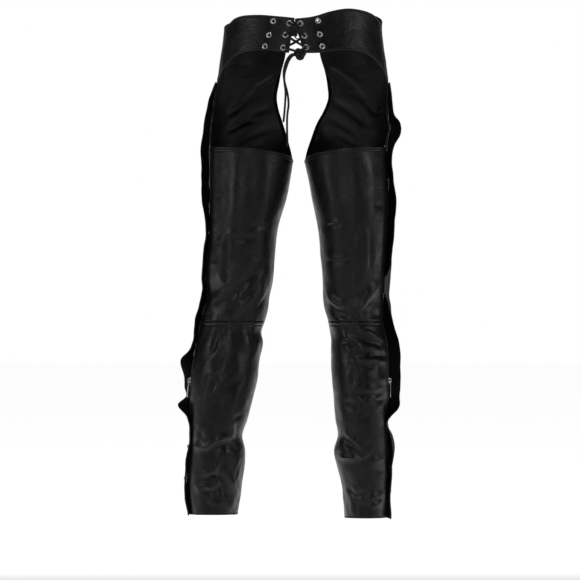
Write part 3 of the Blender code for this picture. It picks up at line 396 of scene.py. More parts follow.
RIGHT_CREASES = creases(
    BACK,
    (((62, -288), (72, -350), (80, -406)), 1.2, 12),
    (((97, -278), (105, -340), (111, -397)), -1.4, 12),
    (((156, -278), (159, -340), (157, -406)), 1.2, 13),
    (((180, -375), (181, -426), (178, -480)), 1.2, 7),
    (((66, -409), (89, -402)), 2.2, 3.8),
    (((61, -416), (94, -408)), -2.6, 4),
    (((66, -402), (84, -399)), -1.4, 3.6),
    (((120, -418), (122, -463)), 1.6, 4),
    (((113, -420), (113, -455)), -1.4, 4),
    (((129, -420), (130, -463)), -1.6, 4.5),
    (((154, -420), (155, -463), (155, -507)), -2.6, 4.4),
    (((147, -428), (148, -496)), 1.7, 4.2),
    (((163, -439), (165, -488)), 1.5, 5),
    (((167, -371), (183, -372)), -1.0, 4),
    (((66, -479), (84, -482), (99, -480), (114, -474)), 1.8, 3.8),
    (((66, -486), (87, -489), (102, -486), (116, -478)), -2.2, 4.2),
    (((67, -461), (76, -463)), -1.6, 5),
    (((107, -501), (108, -525)), 1.2, 3.2),
    (((117, -496), (118, -540)), 1.8, 3.4),
    (((124, -497), (125, -525)), -1.6, 3.8),
    (((112, -500), (113, -525)), -1.2, 3),
    (((171, -484), (173, -509)), -1.6, 4),
    (((62, -548), (66, -557), (81, -572), (100, -578), (116, -586)), 3.4, 6, 0.3),
    (((68, -575), (77, -586), (94, -595), (113, -602)), -5.2, 9),
    (((176, -528), (169, -538), (154, -555), (140, -574), (130, -592)), 4.2, 8),
    (((156, -571), (146, -584), (133, -594)), -2.8, 3.6),
    (((67, -548), (92, -568), (115, -564), (136, -552), (146, -537)), -2.6, 9),
    (((61, -558), (74, -585)), 2.0, 3.4),
    (((72, -566), (87, -584)), 2.0, 3.4),
    (((130, -596), (135, -605), (151, -609), (174, -606)), 2.2, 4),
    (((123, -597), (124, -610)), -2.2, 3.6),
    (((162, -581), (181, -592)), 1.8, 6),
    (((129, -626), (145, -632), (158, -639), (178, -650), (187, -657)), 3.4, 5, -0.35),
    (((186, -659), (181, -668), (191, -684)), 2.0, 5.5),
    (((106, -626), (122, -638), (150, -650), (176, -658)), -5.2, 8),
    (((125, -633), (129, -636)), 1.4, 5),
    (((96, -644), (117, -648), (133, -652)), 2.2, 4),
    (((98, -652), (117, -658)), -2.2, 3.8),
    (((101, -660), (108, -668), (120, -670)), 2.2, 4),
    (((127, -661), (145, -666), (168, -669)), 3.2, 7),
    (((116, -682), (150, -679), (188, -685)), -3.6, 5),
    (((120, -693), (157, -692), (191, -696)), 3.2, 5),
    (((126, -702), (152, -705), (166, -701)), -2.6, 5),
    (((110, -704), (122, -702)), 1.6, 4),
    (((98, -692), (117, -692)), -1.2, 4),
    (((116, -709), (125, -725), (125, -743), (116, -763), (105, -774), (99, -787)), 1.7, 6),
    (((117, -716), (119, -740)), -1.2, 4.5),
    (((162, -728), (177, -733), (190, -729)), 2.0, 6),
    (((128, -752), (180, -750)), 1.5, 6),
    (((126, -761), (149, -763), (180, -761)), -3.2, 6),
    (((182, -759), (192, -764)), 2.0, 3.6),
    (((103, -780), (116, -784), (130, -787)), -4.2, 8),
    (((138, -789), (144, -778), (155, -770)), 1.6, 5),
    (((162, -778), (190, -772)), -2.6, 5),
    (((116, -790), (124, -803), (125, -817), (126, -836)), 1.7, 6),
    (((145, -806), (151, -810)), -2.2, 7),
    (((104, -845), (120, -860), (133, -874)), 2.6, 5.5),
    (((99, -854), (117, -871), (134, -886)), -5.2, 7.5),
    (((82, -895), (104, -895), (132, -895), (144, -888), (152, -876)), 3.4, 4),
    (((146, -878), (152, -864)), -1.8, 4),
    (((159, -901), (180, -897)), 2.0, 5),
    (((157, -919), (182, -923)), -1.4, 6),
    (((109, -958), (121, -971), (135, -981)), -2.6, 5),
    (((118, -961), (124, -964)), 2.0, 4.6),
    (((126, -968), (144, -968), (153, -959)), -3.0, 4.8),
    (((122, -976), (138, -984), (150, -986), (154, -979), (160, -975), (179, -973)), 2.2, 4.4),
    (((157, -995), (180, -987)), 2.0, 4.4),
    (((101, -961), (109, -975)), 1.6, 8),
    (((116, -984), (116, -1011)), 1.5, 5),
    (((123, -986), (124, -1011)), -1.5, 5),
) + creases(
    FRONT,
    (((150, -535), (118, -520), (84, -500)), -3.0, 13),
    (((80, -565), (112, -580), (150, -590)), 2.6, 9),
    (((165, -645), (128, -664), (92, -672)), 3.2, 11),
    (((100, -725), (134, -742), (172, -738)), -2.2, 9),
    (((172, -862), (138, -880), (106, -896)), 3.4, 11),
    (((176, -905), (142, -914), (108, -926)), -3.2, 10),
    (((116, -950), (144, -962), (176, -958)), 3.0, 9),
)
LEFT_LINING_CREASES = creases(
    FRONT,
    (((118, -102), (100, -93), (84, -88)), -4.0, 5),
    (((92, -114), (64, -100), (47, -90)), -6.0, 6),
    (((140, -168), (114, -144), (92, -127), (70, -118)), -7.0, 7),
    (((120, -186), (96, -170), (68, -159), (49, -159)), -6.0, 7),
    (((146, -205), (111, -187), (86, -182)), -5.0, 6),
    (((130, -232), (96, -216), (66, -206), (40, -200)), -5.0, 7),
    (((104, -244), (70, -232), (38, -228)), -4.0, 6),
)
RIGHT_LINING_CREASES = creases(
    FRONT,
    (((71, -73), (101, -90), (123, -107), (146, -130)), -6.0, 6),
    (((103, -75), (126, -82), (150, -96)), -4.0, 5),
    (((108, -118), (130, -126), (153, -142), (174, -168), (187, -166)), -7.0, 7),
    (((75, -143), (98, -151), (124, -168), (150, -190)), -6.0, 7),
    (((60, -176), (84, -184), (112, -200), (140, -222)), -5.0, 7),
    (((67, -207), (103, -221), (140, -240)), -5.0, 6),
    (((40, -222), (72, -234), (104, -250)), -4.0, 6),
)


def smooth_line(points: Points, spacing: float = 5.0) -> Points:
    """Points about a spacing apart on a smooth curve through the given points."""
    if len(points) < 3:
        return points
    chords = np.sqrt(np.linalg.norm(np.diff(points, axis=0), axis=1))
    keys = np.concatenate([[0], np.cumsum(chords)])
    slopes = np.gradient(points, keys, axis=0)
    part = np.linspace(0, 1, LINE_STEPS, endpoint=False)[:, None]
    spans = [blended(part, keys, points, slopes, row) for row in range(len(points) - 1)]
    fine = np.concatenate([*spans, points[-1:]])
    along = run_of(fine)
    return read_at(fine, along, np.linspace(0, along[-1], max(2, round(along[-1] / spacing)) + 1))


def blended(part: Points, keys: Points, values: Points, slopes: Points, row: Points) -> Points:
    """The smooth curve from each row to the next.

    Args:
        part: how far from the row to the next, from 0 to 1.
        keys: where the rows lie along the curve.
        values: the curve's values at the rows.
        slopes: its slopes at the rows.
        row: the rows that it starts from.

    Returns:
        The curve's values at the parts.
    """
    step = keys[row + 1] - keys[row]
    square = part * part
    cube = square * part
    return (
        (2 * cube - 3 * square + 1) * values[row]
        + (cube - 2 * square + part) * step * slopes[row]
        + (3 * square - 2 * cube) * values[row + 1]
        + (cube - square) * step * slopes[row + 1]
    )


def run_of(line: Points) -> Points:
    """How far along a line each of its points lies."""
    return np.concatenate([[0], np.cumsum(np.linalg.norm(np.diff(line, axis=0), axis=1))])


def read_at(values: Points, run: Points, places: Points) -> Points:
    """Reads rows of values at places along a run."""
    return np.stack([np.interp(places, run, column) for column in values.T], axis=1)


def unit(directions: Points) -> Points:
    """The same directions, each one long."""
    return directions / np.linalg.norm(directions, axis=-1, keepdims=True)


def curve_at(rows: Sequence[NamedTuple], column: str, place: Points) -> Points:
    """Reads a column at a place in the first column, on a smooth curve through the rows."""
    table = sorted(rows)
    keys = np.array([row[0] for row in table], float)
    values = np.array([getattr(row, column) for row in table], float)
    slopes = np.gradient(values, keys)
    row = np.clip(np.searchsorted(keys, place) - 1, 0, len(keys) - 2)
    step = keys[row + 1] - keys[row]
    return blended(np.clip((place - keys[row]) / step, 0, 1), keys, values, slopes, row)


def fading(distance: Points, reach: float) -> Points:
    """1 at no distance, falling evenly to 0 at the reach."""
    return np.clip(1 - distance / reach, 0, 1)


def eased(value: Points, low: float, high: float) -> Points:
    """0 below low and 1 above high, with a soft step between them."""
    part = np.clip((value - low) / (high - low), 0, 1)
    return part * part * (3 - 2 * part)


@dataclass(frozen=True)
class Leg:
    """One leg's surface and the edges of the pieces on it."""

    name: str
    side: int
    levels: tuple[Level, ...]
    crotch: tuple[Edge, ...]
    lacing_edge: tuple[Edge, ...]
    yoke_top: tuple[Rim, ...]
    front_top: tuple[Rim, ...]
    eyelets: tuple[Place, ...]
    lean: tuple[Lean, ...]
    creases: tuple[Crease, ...]
    lining_creases: tuple[Crease, ...]
    # The flap's painted-pale table, then the heights over which the back thigh gets its painted highlight
    # line.
    painted_flap_highlight: tuple[FlapHighlight, ...]
    painted_highlight_line: Place
    hem: float
    seed: int
    hem_lift: float = 5.0
    hem_fade: float = 60.0
    folds_show: Place = (0.3, 0.8)
    crease_depth: float = 1.3
    ripples: int = 9
    ripple_rise: float = 0.45

    def section(self, height: Points) -> tuple[Points, Points, Points, Points]:
        """The centre and half sizes of the leg's oval at a height: out, half out, deep, half deep."""
        inner = curve_at(self.levels, "inner", height)
        outer = curve_at(self.levels, "outer", height)
        front = curve_at(DEPTHS, "front", height)
        back = curve_at(DEPTHS, "back", height)
        return (inner + outer) / 2, (outer - inner) / 2, (front + back) / 2, (back - front) / 2

    def ripple(self, height: Points, angle: Points) -> Points:
        """The leather's low uneven swells, stronger behind the knee and above the hem."""
        chance = np.random.default_rng(self.seed)
        total = np.zeros(np.broadcast(height, angle).shape)
        for _ in range(self.ripples):
            turns = chance.integers(2, 15)
            rise = 2 * math.pi / chance.uniform(38, 130)
            phase = chance.uniform(0, 2 * math.pi)
            slant = chance.choice((-1, 1))
            total = total + np.sin(turns * angle + slant * rise * height + phase)
        knee = np.exp(-(((height - KNEE_SEAM) / 110) ** 2))
        ankle = eased(-height, 820, 960)
        return total / math.sqrt(self.ripples) * self.ripple_rise * (0.45 + 0.8 * knee + 0.6 * ankle)

    def relief(self, out: Points, height: Points, angle: Points) -> Points:
        """How far creases and swells lift the leather at a place."""
        total = self.ripple(height, angle)
        shown = {face: eased(np.sin(angle) * face, *self.folds_show) for face in (BACK, FRONT)}
        for crease in self.creases:
            total = total + shown[crease.face] * crease.rise_at(out, height) * self.crease_depth
        return total

    def smooth_surface(self, height: Points, angle: Points) -> Points:
        """Points on the leg before any crease."""
        out_centre, half_out, deep_centre, half_deep = self.section(height)
        out = out_centre + half_out * np.cos(angle)
        deep = deep_centre + half_deep * np.sin(angle)
        return np.stack(np.broadcast_arrays(self.side * out, deep, height), axis=-1)

    def outward(self, height: Points, angle: Points) -> Points:
        """The directions that point straight out of the leather, before any crease."""
        round_it = self.smooth_surface(height, angle + 0.01) - self.smooth_surface(height, angle - 0.01)
        upward = self.smooth_surface(height + 1.0, angle) - self.smooth_surface(height - 1.0, angle)
        return unit(np.cross(round_it, upward) * self.side)

    def surface(self, height: Points, angle: Points, lift: Amount = 0.0) -> Points:
        """Points on the leg, or a lift outward from it."""
        height, angle = np.broadcast_arrays(np.asarray(height, float), np.asarray(angle, float))
        smooth = self.smooth_surface(height, angle)
        rise = lift + self.relief(self.side * smooth[..., 0], height, angle)
        return smooth + self.outward(height, angle) * rise[..., None]

    def angle_per_mm(self, height: Points, angle: Points) -> Points:
        """The turn that one millimetre round the leg takes."""
        _, half_out, _, half_deep = self.section(height)
        return 1 / np.hypot(half_out * np.sin(angle), half_deep * np.cos(angle))

    def from_zip(self, height: Points, distance: Amount) -> Points:
        """The angle at a distance behind the middle of the zip, or before it if negative."""
        return ZIP_ANGLE + distance * self.angle_per_mm(height, ZIP_ANGLE)

    def angle_of(self, out: Amount, height: Amount, face: int) -> Points:
        """The angle where the leg's back or front lies at a distance from the centre plane."""
        centre, half, _, _ = self.section(height)
        return face * np.arccos(np.clip((out - centre) / half, -1, 1))

    def crotch_angle(self, height: Points, distance: Amount) -> Points:
        """The angle at a distance from the front panel's inner edge."""
        edge = self.angle_of(curve_at(self.crotch, "out", height), height, FRONT)
        edge = np.where(np.asarray(height) <= CROTCH, -math.pi, edge)
        return edge + distance * self.angle_per_mm(height, edge)

    def at_the_hem(self, heights: Points, angles: Points) -> Points:
        """The same heights with the hem a little higher behind than in front."""
        return heights + self.hem_lift * np.sin(angles) * fading(heights - self.hem, self.hem_fade)

    def under(self, rim: Sequence[Rim], edge: float, fade: float, levels: Points, angles: Points) -> Points:
        """Heights that follow a rim near an edge's height, and the hem at the bottom."""
        drop = curve_at(rim, "height", np.degrees(angles)) - edge
        return self.at_the_hem(levels + drop * fading(edge - levels, fade), angles)

    def frame(self, height: float, angle: float, lift: float = 0.0) -> Matrix:
        """A matrix that sets a piece on the leather: X level round the leg, Y up and Z outward."""
        outward = Vector(self.outward(height, angle))
        level = Vector((0, 0, 1)).cross(outward).normalized()
        return standing(Vector(self.surface(height, angle, lift)), outward, level)

    def eyelet_frame(self, number: int) -> Matrix:
        """A matrix that sets an eyelet in the middle of the leather."""
        out, height = self.eyelets[number]
        return self.frame(height, float(self.angle_of(out, height, BACK)), -LEATHER / 2)


def standing(place: Vector, outward: Vector, level: Vector) -> Matrix:
    """A matrix with its Z axis outward, its X axis level and its origin at a place in millimetres."""
    upright = outward.cross(level).normalized()
    turn = Matrix((level, upright, outward)).transposed().to_4x4()
    return Matrix.Translation(place) @ turn


# Where each flap is painted pale as painted light: on the right one above the knee seam and lower on the
# shin, on the left one nowhere.
LEFT_FLAP_HIGHLIGHT = rows_of(FlapHighlight, (0, 1.2), (-1100, 1.2))
RIGHT_FLAP_HIGHLIGHT = rows_of(
    FlapHighlight,
    (-60, 1.2), (-488, 1.1), (-504, 0.5), (-514, 0.2), (-525, -0.2), (-545, -0.2), (-560, 0.2), (-577, 0.5),
    (-595, 0.9), (-606, 1.2), (-808, 1.2), (-824, 0.45), (-860, 0.5), (-884, 0.7), (-900, 1.2), (-1100, 1.2),
)

LEFT = Leg(
    "left", 1, LEFT_LEVELS, LEFT_CROTCH, LEFT_LACING_EDGE, LEFT_YOKE_TOP, LEFT_FRONT_TOP, LEFT_EYELETS,
    LEFT_LEAN, LEFT_CREASES, LEFT_LINING_CREASES, LEFT_FLAP_HIGHLIGHT, (-470.0, -420.0), -1018.0, 11,
)
RIGHT = Leg(
    "right", -1, RIGHT_LEVELS, RIGHT_CROTCH, RIGHT_LACING_EDGE, RIGHT_YOKE_TOP, RIGHT_FRONT_TOP,
    RIGHT_EYELETS, RIGHT_LEAN, RIGHT_CREASES, RIGHT_LINING_CREASES, RIGHT_FLAP_HIGHLIGHT, (-240.0, -230.0),
    -1025.0, 23,
)


class Slot(Enum):
    """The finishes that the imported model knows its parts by."""

    LEATHER = "leather"
    LINING = "lining"
    ZIP_TAPE = "zip_tape"
    LACE = "lace"
    ZIP_METAL = "zip_metal"
    EYELET_METAL = "eyelet_metal"
    SNAP_METAL = "snap_metal"
    RING_METAL = "ring_metal"


class Bench:
    """A bench that the nodes of one material, or of the surround, are put together on."""

    def __init__(self, name: str, surround: bool = False) -> None:
        """Starts with a plain shader."""
        self.holder = bpy.data.worlds.new(name) if surround else bpy.data.materials.new(name)
        self.holder.use_nodes = True
        self.tree = self.holder.node_tree
        self.shader = self.tree.nodes["Background" if surround else "Principled BSDF"]
        places = self.tree.nodes.new("ShaderNodeTexCoord").outputs
        self.place = places["Generated" if surround else "Object"]

    def add(self, kind: str, inputs: dict[str, object], **settings: object) -> bpy.types.Node:
        """Adds a node, sets it and links or fills its inputs."""
        node = self.tree.nodes.new(kind)
        for name, value in settings.items():
            setattr(node, name, value)
        for name, value in inputs.items():
            self.fill(node.inputs[name], value)
        return node

    def fill(self, socket: Socket, value: object) -> None:
        """Links a socket to another, or sets its number."""
        if isinstance(value, Socket):
            self.tree.links.new(value, socket)
        else:
            socket.default_value = value

    def noise(self, scale: float, detail: float = 3.0, stretch: Vector | None = None) -> Socket:
        """A cloudy pattern with so many clouds a metre."""
        place = self.place
        if stretch is not None:
            place = self.add("ShaderNodeMapping", {"Vector": place, "Scale": stretch}).outputs["Vector"]
        inputs = {"Vector": place, "Scale": scale, "Detail": detail}
        return self.add("ShaderNodeTexNoise", inputs).outputs["Fac"]

    def pebbles(self, scale: float) -> Socket:
        """A pattern of rounded cells, so many a metre."""
        inputs = {"Vector": self.place, "Scale": scale, "Smoothness": 0.4}
        node = self.add("ShaderNodeTexVoronoi", inputs, feature="SMOOTH_F1")
        return node.outputs["Distance"]

    def stripes(self, scale: float, direction: str) -> Socket:
        """A pattern of even threads along one direction."""
        inputs = {"Vector": self.place, "Scale": scale, "Distortion": 0.3, "Detail": 1.0}
        return self.add("ShaderNodeTexWave", inputs, bands_direction=direction).outputs["Fac"]

    def attribute(self, name: str) -> Socket:
        """A value kept on the mesh's points."""
        return self.add("ShaderNodeAttribute", {}, attribute_name=name).outputs["Fac"]

    def span(self, value: Socket, low: float, high: float, start: float, end: float) -> Socket:
        """Turns a value from one range into another."""
        inputs = {"Value": value, "From Min": low, "From Max": high, "To Min": start, "To Max": end}
        return self.add("ShaderNodeMapRange", inputs).outputs["Result"]

    def reckon(self, operation: str, first: object, second: object) -> Socket:
        """Adds, multiplies or compares two values."""
        node = self.add("ShaderNodeMath", {}, operation=operation)
        self.fill(node.inputs[0], first)
        self.fill(node.inputs[1], second)
        return node.outputs[0]

    def blend(self, share: object, first: object, second: Colour) -> Socket:
        """Mixes a colour, or another mix, with a second colour by a share."""
        node = self.add("ShaderNodeMix", {}, data_type="RGBA")
        self.fill(node.inputs[0], share)
        self.fill(node.inputs[6], (*first, 1) if isinstance(first, tuple) else first)
        self.fill(node.inputs[7], (*second, 1))
        return node.outputs[2]

    def bump(self, height: object, strength: float, distance: float, below: object = None) -> Socket:
        """Raises a pattern by a distance in metres, over another bump."""
        inputs = {"Height": height, "Strength": strength, "Distance": distance}
        if below is not None:
            inputs["Normal"] = below
        return self.add("ShaderNodeBump", inputs).outputs["Normal"]

    def done(self, colour: object, roughness: object, normal: object, **extras: float) -> Material:
        """Gives the shader its colour, roughness, normal and other numbers, and returns the material."""
        self.fill(self.shader.inputs["Base Color"], colour)
        self.fill(self.shader.inputs["Roughness"], roughness)
        self.fill(self.shader.inputs["Normal"], normal)
        for name, value in extras.items():
            self.shader.inputs[name.replace("_", " ")].default_value = value
        return self.holder


@dataclass(frozen=True)
class LeatherFinish:
    """Black garment leather: fine pebbles, soft wrinkles, paler and smoother where it is rubbed, darker in
    the troughs of creases as painted shade, and a pale colour laid on as painted highlight.
    """

    name: str
    deep: Colour = (0.0022, 0.0022, 0.0024)
    rubbed: Colour = (0.013, 0.0128, 0.013)
    # The colour of the painted highlights.
    pale: Colour = (0.07, 0.07, 0.071)
    smooth: float = 0.3
    dull: float = 0.48
    shine: float = 0.34

    def material(self) -> Material:
        """Builds the leather."""
        bench = Bench(self.name)
        clouds = bench.noise(7, 4)
        mottle = bench.noise(55, 5)
        # The mesh's rubbing value lightens ridges and edges as real wear, and leaves troughs dark as painted
        # shade.
        wear_and_shade = bench.attribute("wear_and_shade")
        rubbing_and_shade = bench.reckon("MULTIPLY", wear_and_shade, 0.65)
        share = bench.reckon("ADD", bench.span(clouds, 0.35, 0.7, 0.0, 0.35), rubbing_and_shade)
        colour = bench.blend(bench.reckon("MINIMUM", share, 1.0), self.deep, self.rubbed)
        # Painted highlight: the pale colour laid on where the mesh's pale value asks, along the left thigh's
        # zip edge and on the storm flaps.
        colour = bench.blend(bench.attribute("pale"), colour, self.pale)
        rough = bench.span(mottle, 0.3, 0.7, self.smooth, self.dull)
        rough = bench.reckon("SUBTRACT", rough, bench.reckon("MULTIPLY", wear_and_shade, 0.05))
        soft = bench.bump(bench.noise(42, 4), 0.4, 0.003)
        folds = bench.bump(bench.noise(120, 4, Vector((1.0, 1.0, 1.5))), 0.4, 0.0013, soft)
        lines = bench.bump(bench.noise(300, 4, Vector((1.0, 1.0, 1.7))), 0.3, 0.0006, folds)
        grain = bench.bump(bench.pebbles(1100), 0.12, 0.0003, lines)
        pores = bench.bump(bench.noise(4200, 2), 0.05, 0.0001, grain)
        return bench.done(colour, rough, pores, Specular_IOR_Level=self.shine)


@dataclass(frozen=True)
class FleshFinish:
    """The leather's napped flesh side, dyed black, painted pale in places as painted light."""

    name: str
    deep: Colour = (0.0008, 0.0008, 0.0009)
    raised: Colour = (0.0028, 0.0028, 0.003)
    painted_flap_highlight: Colour = (0.24, 0.24, 0.243)

    def material(self) -> Material:
        """Builds the nap."""
        bench = Bench(self.name)
        colour = bench.blend(bench.noise(300, 4), self.deep, self.raised)
        # Painted light: the flesh side turned pale where the mesh's pale value asks, on the storm flaps.
        colour = bench.blend(bench.attribute("pale"), colour, self.painted_flap_highlight)
        rough = bench.span(bench.noise(40, 3), 0.3, 0.7, 0.86, 0.98)
        nap = bench.bump(bench.noise(1500, 4), 0.3, 0.0004)
        return bench.done(colour, rough, nap, Specular_IOR_Level=0.12)


@dataclass(frozen=True)
class ClothFinish:
    """A plain black weave."""

    name: str
    threads: float
    deep: Colour = (0.001, 0.001, 0.0012)
    raised: Colour = (0.0036, 0.0036, 0.004)
    roughness: Place = (0.4, 0.55)

    def material(self) -> Material:
        """Builds the weave."""
        bench = Bench(self.name)
        over = bench.stripes(self.threads, "Z")
        under = bench.stripes(self.threads, "X")
        weave = bench.reckon("MAXIMUM", over, under)
        colour = bench.blend(bench.reckon("MULTIPLY", weave, bench.noise(30, 3)), self.deep, self.raised)
        rough = bench.span(bench.noise(25, 3), 0.3, 0.7, *self.roughness)
        soft = bench.bump(bench.noise(38, 3), 0.25, 0.002)
        cloth = bench.bump(weave, 0.35, 0.0003, soft)
        return bench.done(colour, rough, cloth, Specular_IOR_Level=0.34)


@dataclass(frozen=True)
class LaceFinish:
    """A braided black cord."""

    name: str
    deep: Colour = (0.002, 0.002, 0.002)
    raised: Colour = (0.01, 0.0098, 0.0102)

    def material(self) -> Material:
        """Builds the cord's fibres."""
        bench = Bench(self.name)
        fibres = bench.noise(1800, 3)
        # Strand crests paler as rubbing; the grooves between strands darker as painted shade.
        share = bench.reckon("MULTIPLY", fibres, bench.attribute("wear_and_shade"))
        colour = bench.blend(share, self.deep, self.raised)
        rough = bench.span(bench.noise(400, 2), 0.3, 0.7, 0.45, 0.62)
        return bench.done(colour, rough, bench.bump(fibres, 0.3, 0.0003), Specular_IOR_Level=0.4)


@dataclass(frozen=True)
class MetalFinish:
    """Polished nickel with fine scratches."""

    name: str
    bright: Colour = (0.82, 0.82, 0.81)
    dim: Colour = (0.55, 0.55, 0.56)
    smooth: float = 0.12
    dull: float = 0.3

    def material(self) -> Material:
        """Builds the metal."""
        bench = Bench(self.name)
        clouds = bench.noise(260, 4)
        colour = bench.blend(bench.span(clouds, 0.35, 0.8, 0.0, 0.7), self.bright, self.dim)
        scratches = bench.noise(1400, 4, Vector((1.0, 1.0, 0.12)))
        rough = bench.span(scratches, 0.3, 0.75, self.smooth, self.dull)
        return bench.done(colour, rough, bench.bump(scratches, 0.05, 0.00005), Metallic=1.0)


@dataclass(frozen=True)
class ThreadFinish:
    """Bonded black thread."""

    name: str
    deep: Colour = (0.006, 0.006, 0.0062)
    raised: Colour = (0.03, 0.03, 0.031)

    def material(self) -> Material:
        """Builds the thread."""
        bench = Bench(self.name)
        twist = bench.noise(5200, 2)
        colour = bench.blend(twist, self.deep, self.raised)
        rough = bench.span(twist, 0.3, 0.7, 0.38, 0.55)
        return bench.done(colour, rough, bench.bump(twist, 0.25, 0.0001), Specular_IOR_Level=0.45)


@dataclass(frozen=True)
class FloorFinish:
    """A matt pale floor, lit from below in front of the wearer."""

    name: str
    glow: float = 0.92
    dim: float = 0.14
    pale: Colour = (0.94, 0.94, 0.94)
    paler: Colour = (0.97, 0.97, 0.97)

    def material(self) -> Material:
        """Builds the floor."""
        bench = Bench(self.name)
        clouds = bench.noise(3, 3)
        colour = bench.blend(clouds, self.pale, self.paler)
        rough = bench.span(clouds, 0.3, 0.7, 0.75, 0.9)
        level = bench.bump(bench.noise(90, 3), 0.04, 0.001)
        axes = bench.add("ShaderNodeSeparateXYZ", {"Vector": bench.place})
        glow = bench.span(axes.outputs["Y"], 0.0, 0.4, self.glow, self.dim)
        bench.fill(bench.shader.inputs["Emission Strength"], glow)
        bench.shader.inputs["Emission Color"].default_value = (1, 1, 1, 1)
        return bench.done(colour, rough, level, Specular_IOR_Level=0.0)


@dataclass(frozen=True)
class Finishes:
    """Every material of the garment."""

    leather: Material
    flesh: Material
    lining: Material
    tape: Material
    lace: Material
    thread: Material
    zip_metal: Material
    eyelet_metal: Material
    snap_metal: Material
    ring_metal: Material


def make_finishes() -> Finishes:
    """Makes each material once."""
    return Finishes(
        LeatherFinish("black_leather").material(),
        FleshFinish("leather_flesh_side").material(),
        ClothFinish("black_lining", 330.0).material(),
        ClothFinish("zip_tape_weave", 520.0, (0.002, 0.002, 0.0021), (0.009, 0.009, 0.0092)).material(),
        LaceFinish("braided_lace").material(),
        ThreadFinish("bonded_thread").material(),
        MetalFinish("zip_nickel", smooth=0.16, dull=0.32).material(),
        MetalFinish("eyelet_nickel", (0.6, 0.6, 0.6), (0.34, 0.34, 0.35), 0.2, 0.36).material(),
        MetalFinish("snap_nickel", smooth=0.14, dull=0.26).material(),
        MetalFinish("ring_nickel", smooth=0.1, dull=0.24).material(),
    )


class Spread(NamedTuple):
    """Places from one edge to another: shares of the way plus millimetres in from each edge."""

    shares: Points
    first_offsets: Points
    last_offsets: Points
    from_first: Points
    from_last: Points

    def between(self, first: Points, last: Points, first_step: Amount, last_step: Amount) -> Points:
        """The places as values between two edges, where a step is one millimetre's worth of value."""
        even = first * (1 - self.shares) + last * self.shares
        return even + first_step * self.first_offsets - last_step * self.last_offsets


def spread(length: float, opening: Profile, closing: Profile, spacing: float) -> Spread:
    """Close places by both edges and even places between them."""
    near = np.array(opening.places)
    far = np.array(closing.places[::-1])
    count = max(2, round((length - near[-1] - far[0]) / spacing))
    middle = np.linspace(0, 1, count + 1)[1:-1]
    beyond = np.full(count - 1, FAR)
    return Spread(
        np.concatenate([0 * near, middle, 0 * far + 1]),
        np.concatenate([near, near[-1] * (1 - middle), 0 * far]),
        np.concatenate([0 * near, far[0] * middle, far]),
        np.concatenate([near, beyond, np.full(len(far), FAR)]),
        np.concatenate([np.full(len(near), FAR), beyond, far]),
    )


def rows_down(top: float, bottom: float, opening: Profile, closing: Profile) -> tuple[Spread, Points]:
    """Rows from a top to a bottom, and their heights one above another."""
    rows = spread(top - bottom, opening, closing, CELL)
    return rows, rows.between(top, bottom, -1.0, -1.0)[:, None]


Edges = tuple[tuple[Profile, Points], ...]


def edges_of(rows: Spread, columns: Spread, *profiles: Profile) -> Edges:
    """Profiles with the distances they go by: from the first and last row, then from the columns."""
    distances = rows.from_first[:, None], rows.from_last[:, None], columns.from_first, columns.from_last
    return tuple(zip(profiles, distances))


def edge_lifts(edges: Edges) -> tuple[Points, Points]:
    """The lift that the nearest edge gives each place, and how far that edge is."""
    distances = np.stack(np.broadcast_arrays(*[away for _, away in edges]))
    lifts = [np.interp(away, profile.places, profile.lifts) for profile, away in edges]
    lifts = np.stack(np.broadcast_arrays(*lifts))
    return np.take_along_axis(lifts, distances.argmin(axis=0)[None], 0)[0], distances.min(axis=0)


@dataclass(frozen=True)
class Patch:
    """A fine grid on a leg, with the distances from its four edges."""

    leg: Leg
    heights: Points
    angles: Points
    edges: Edges

    def wear_and_shade(self) -> Points:
        """How rubbed the leather is, most on ridges and edges, with painted shade that leaves the troughs
        darker.
        """
        _, away = edge_lifts(self.edges)
        smooth = self.leg.smooth_surface(self.heights, self.angles)
        relief = self.leg.relief(self.leg.side * smooth[..., 0], self.heights, self.angles)
        # Ridges rubbed paler as real wear; troughs darkened as painted shade.
        ridges = eased(relief, 0.4, 4.0) * 0.75 - eased(-relief, 0.4, 4.0) * 0.3
        return np.clip(ridges + 0.4 * np.exp(-away / 2.5) + 0.2, 0, 1)

    def walls(self, extra: Amount = 0.0) -> tuple[Points, Points]:
        """The outer and inner points of a wall on this grid, both lifted by extra."""
        lifts, _ = edge_lifts(self.edges)
        outer = self.leg.surface(self.heights, self.angles, extra + lifts)
        inner = self.leg.surface(self.heights, self.angles, extra - LEATHER)
        return outer, inner


class Cut(NamedTuple):
    """A flat piece's width, length and area before it was sewn, in metres."""

    width: float
    length: float
    area: float


def grid_faces(rows: int, columns: int) -> Points:
    """The quads of a grid of points."""
    corner = (np.arange(rows - 1)[:, None] * columns + np.arange(columns - 1)).ravel()
    return np.stack([corner, corner + 1, corner + columns + 1, corner + columns], axis=1)


def ring_faces(rings: int, sides: int, closed: bool = False) -> list[tuple[int, ...]]:
    """The quads between rings of points, and from the last ring to the first where they close."""
    faces = []
    for ring in range(rings if closed else rings - 1):
        here, there = ring * sides, (ring + 1) % rings * sides
        for side, after in zip(range(sides), (*range(1, sides), 0)):
            faces.append((here + side, here + after, there + after, there + side))
    return faces


def grid_border(rows: int, columns: int) -> Points:
    """The points round a grid's edge, in order."""
    top = np.arange(columns)
    right = np.arange(1, rows) * columns + columns - 1
    bottom = (rows - 1) * columns + np.arange(columns - 2, -1, -1)
    left = np.arange(rows - 2, 0, -1) * columns
    return np.concatenate([top, right, bottom, left])


def add_object(name: str, data: bpy.types.ID) -> Piece:
    """Adds an object for a mesh, a curve, a lamp or a camera."""
    piece = bpy.data.objects.new(name, data)
    bpy.context.collection.objects.link(piece)
    return piece


